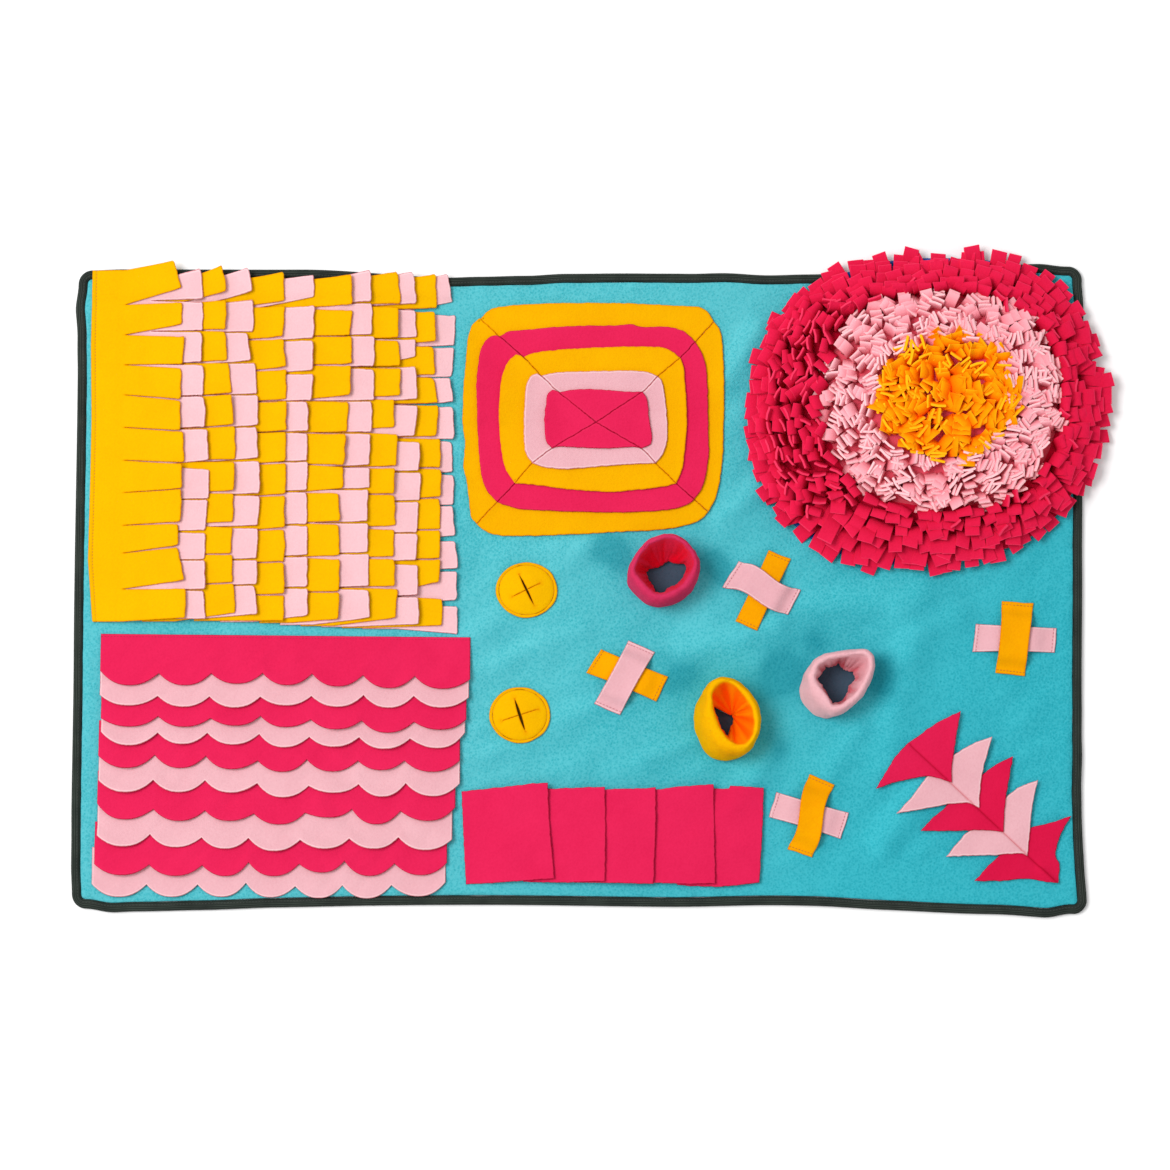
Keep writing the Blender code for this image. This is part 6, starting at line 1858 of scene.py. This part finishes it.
def makeFlower():
    oval = superOval(flower["middles"]["dark"], flower["patch"], 100, flower["power"], waver=0.006, seed=2.0)

    def shape(x, y, distance, number):
        ripple = 0.0003 * wobble(x, y, 0.03, 70.0)
        return mat["sewnBase"] + mat["cloth"] / 2 + climb(x, y) + ripple + max(swell(x, y), 0.0)

    made = clothFromOutlines("flowerPatch", [[[flattened(x, y, 1.0) for x, y in oval]]], shape, blueFleece,
                             spacing=9.0, edgeSpacing=4.0)
    finishPiece(made, "blue_patch", ["flower_patch"], (0.344, 0.318))

    rng = random.Random(21)
    tabs = bpy.data.collections.new("flowerTabs")
    kinds, variants = list(flower["tabs"]), flower["variants"]
    for number in range(len(kinds) * variants):
        tabs.objects.link(makeTabShape(f"tab{number:02d}", kinds[number // variants], rng))
    tree, sockets = buildTabTree()
    for colour, (name, node, slot, cloth) in flower["pieces"].items():
        given = flower["beds"][colour]

        def padded(x, y, distance, number):
            return bedHeight(colour, x / mm, y / mm) + 0.0012 * wobble(x, y, 0.012, 71.0)

        oval = superOval(flower["middles"][colour], given["half"], 60, flower["power"])
        # the bed between the tabs is painted all over in the shade colour
        bed, _ = clothFromOutlines("bed", [[oval]], padded, cloth, spacing=8.0, edgeSpacing=6.0,
                                   crease=lambda x, y: 1.0)
        points, turns, picks, sizes = [], [], [], []
        for x, y, direction, turn, tilt, kind in (
                darkTabs(rng) if colour == "dark" else innerTabs(colour, rng)):
            x, y = x + rng.gauss(0, 0.8), y + rng.gauss(0, 0.8)
            points.append((x * mm, y * mm,
                           max(bedHeight(colour, x, y) - given["sunk"], flower["lowestRoot"])))
            turns += (rng.gauss(0, 0.05), tilt, direction + turn)
            picks.append(kinds.index(kind) * variants + rng.randrange(variants))
            sizes.append(rng.uniform(0.95, 1.05))
        attributes = {"turn": ("FLOAT_VECTOR", turns), "pick": ("INT", picks), "size": ("FLOAT", sizes)}
        obj = placeRepeats(name, points, attributes, tree, sockets,
                           {"Tabs": tabs, "Bed": bed, "Size": given["size"], "Cloth": cloth})
        bpy.data.objects.remove(bed)
        area = 0.5 * areaOf(obj)
        print(f"{name}: {len(points)} tabs, {len(obj.data.polygons)} faces, {area:.4f} m2")
        finishPiece((obj, area), slot, [node], (0.046, area / 0.042))
    for tab in list(tabs.objects):
        bpy.data.objects.remove(tab)
    bpy.data.collections.remove(tabs)


makeFlower()
print("flower ready")


# ---- stitches

stitch = {
    "pitch": 0.0031,
    "length": 0.0024,
    "radius": 0.00036,
    "groove": (0.0062, 0.00665),  # the seam of the binding: how far in, and how high
    # rings of a stitch: place along half of it, size, how high it bulges
    "rings": ((-1.0, 0.35, -0.9), (-0.6, 0.95, -0.1), (0.0, 1.0, 0.2), (0.6, 0.95, -0.1), (1.0, 0.35, -0.9)),
    "slots": {"yellow": "yellow_fleece", "light": "light_pink_fleece", "dark": "dark_pink_fleece",
              "charcoal": "binding_tape"},
}


def makeStitchShape():
    half, radius = stitch["length"] / 2, stitch["radius"]
    points = [(place * half, radius * size * math.cos(turn), radius * (size * math.sin(turn) + rise))
              for place, size, rise in stitch["rings"] for turn in (math.pi / 3 * k for k in range(6))]
    faces = tubeFaces(5, 6) + [(5, 4, 3, 2, 1, 0), (24, 25, 26, 27, 28, 29)]
    mesh = bpy.data.meshes.new("stitch")
    mesh.from_pydata(points, [], [face[::-1] for face in faces])
    mesh.shade_smooth()
    return bpy.data.objects.new("stitch", mesh)


def buildStitchTree():
    # one stitch every so often along each line, lying along it
    tree, sockets, given = geometryTree("stitchLine", (
        ("Stitch", "Object", None), ("Pitch", "Float", stitch["pitch"]), ("Thread", "Material", None)))
    line = addNode(tree, "GeometryNodeMeshToCurve", {"Mesh": given["Geometry"]})
    places = addNode(tree, "GeometryNodeCurveToPoints", {
        "Curve": line.outputs["Curve"], "Length": given["Pitch"]}, mode="LENGTH").outputs
    shape = addNode(tree, "GeometryNodeObjectInfo", {"Object": given["Stitch"]})
    turned = addNode(tree, "FunctionNodeAlignRotationToVector", {"Vector": places["Tangent"]},
                     axis="X", pivot_axis="AUTO")
    placed = addNode(tree, "GeometryNodeInstanceOnPoints", {
        "Points": places["Points"], "Instance": shape.outputs["Geometry"],
        "Rotation": turned.outputs["Rotation"]})
    endTree(tree, placed.outputs["Instances"], given["Thread"])
    return tree, sockets


def makeStitches():
    inset, height = stitch["groove"]
    groove = [(point.x, point.y, height) for point in matOutline(inset)]
    seams["charcoal"].append([*groove, groove[0]])
    tree, sockets = buildStitchTree()
    shape = makeStitchShape()
    for colour, lines in seams.items():
        points, edges = [], []
        for line in lines:
            edges += [(len(points) + j, len(points) + j + 1) for j in range(len(line) - 1)]
            points += line
        obj = placeRepeats(colour + "Stitches", points, {}, tree, sockets,
                           {"Stitch": shape, "Pitch": stitch["pitch"], "Thread": threads[colour]}, edges)
        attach(obj, "root")
        print(f"{obj.name}: {len(obj.data.polygons)} faces")
    bpy.data.objects.remove(shape)


makeStitches()
print("stitches ready")


# ---- stage, light and camera

stage = {
    "floorHalf": 6.0,
    "floorShades": (0.93, 0.95),
    "sky": 0.7,
    "lampPlace": (-2.3, 0.7, 3.9),
    "lampSize": (2.4, 2.0),
    "lampEnergy": 155.0,
    "cameraTilt": 5.0,
    "cameraDistance": 4.0,
    "cameraAim": (0.0043, 0.0045),
    "framePixels": 1170,
    "pixelsPerMetre": 1008,
    "sensor": 36.0,
}


def makeStage():
    half = stage["floorHalf"]
    mesh = bpy.data.meshes.new("floor")
    mesh.from_pydata([(-half, -half, 0), (half, -half, 0), (half, half, 0), (-half, half, 0)], [],
                     [(0, 1, 2, 3)])
    material, tree, shader = newMaterial("paleFloor")
    grain = addNode(tree, "ShaderNodeTexNoise", {"Vector": objectPlace(tree), "Scale": 3.0, "Detail": 2.0})
    tone = addNode(tree, "ShaderNodeValToRGB", {"Fac": grain.outputs["Fac"]})
    for stop, shade in zip(tone.color_ramp.elements, stage["floorShades"]):
        stop.color = (shade, shade, shade, 1.0)
    setInputs(tree, shader, {"Base Color": tone.outputs["Color"], "Roughness": 0.9,
                             "Specular IOR Level": 0.0})
    mesh.materials.append(material)
    floor = bpy.data.objects.new("floor", mesh)
    scene.collection.objects.link(floor)


def makeLight():
    world = bpy.data.worlds.new("studio")
    world.use_nodes = True
    sky = world.node_tree.nodes["Background"].inputs
    sky["Color"].default_value, sky["Strength"].default_value = (1.0, 1.0, 1.0, 1.0), stage["sky"]
    scene.world = world
    lamp = bpy.data.lights.new("overhead", "AREA")
    lamp.shape = "RECTANGLE"
    lamp.size, lamp.size_y = stage["lampSize"]
    lamp.energy = stage["lampEnergy"]
    holder = bpy.data.objects.new("overhead", lamp)
    holder.location = stage["lampPlace"]
    holder.rotation_euler = (Vector((0, 0, 0)) - holder.location).to_track_quat("-Z", "Y").to_euler()
    scene.collection.objects.link(holder)


def makeCamera():
    tilt, distance = math.radians(stage["cameraTilt"]), stage["cameraDistance"]
    camera = bpy.data.cameras.new("camera")
    camera.sensor_width = stage["sensor"]
    camera.lens = stage["sensor"] * distance * stage["pixelsPerMetre"] / stage["framePixels"]
    camera.clip_end = 100.0
    holder = bpy.data.objects.new("camera", camera)
    (aimX, aimY), (shiftX, shiftY) = stage["cameraAim"], mat["shift"]
    holder.location = (aimX + shiftX, aimY + shiftY - distance * math.sin(tilt), distance * math.cos(tilt))
    holder.rotation_euler = (tilt, 0.0, 0.0)
    scene.collection.objects.link(holder)
    scene.camera = holder


makeStage()
makeLight()
makeCamera()
scene.view_settings.view_transform = "Standard"
scene.view_settings.look = "None"
print("stage ready")
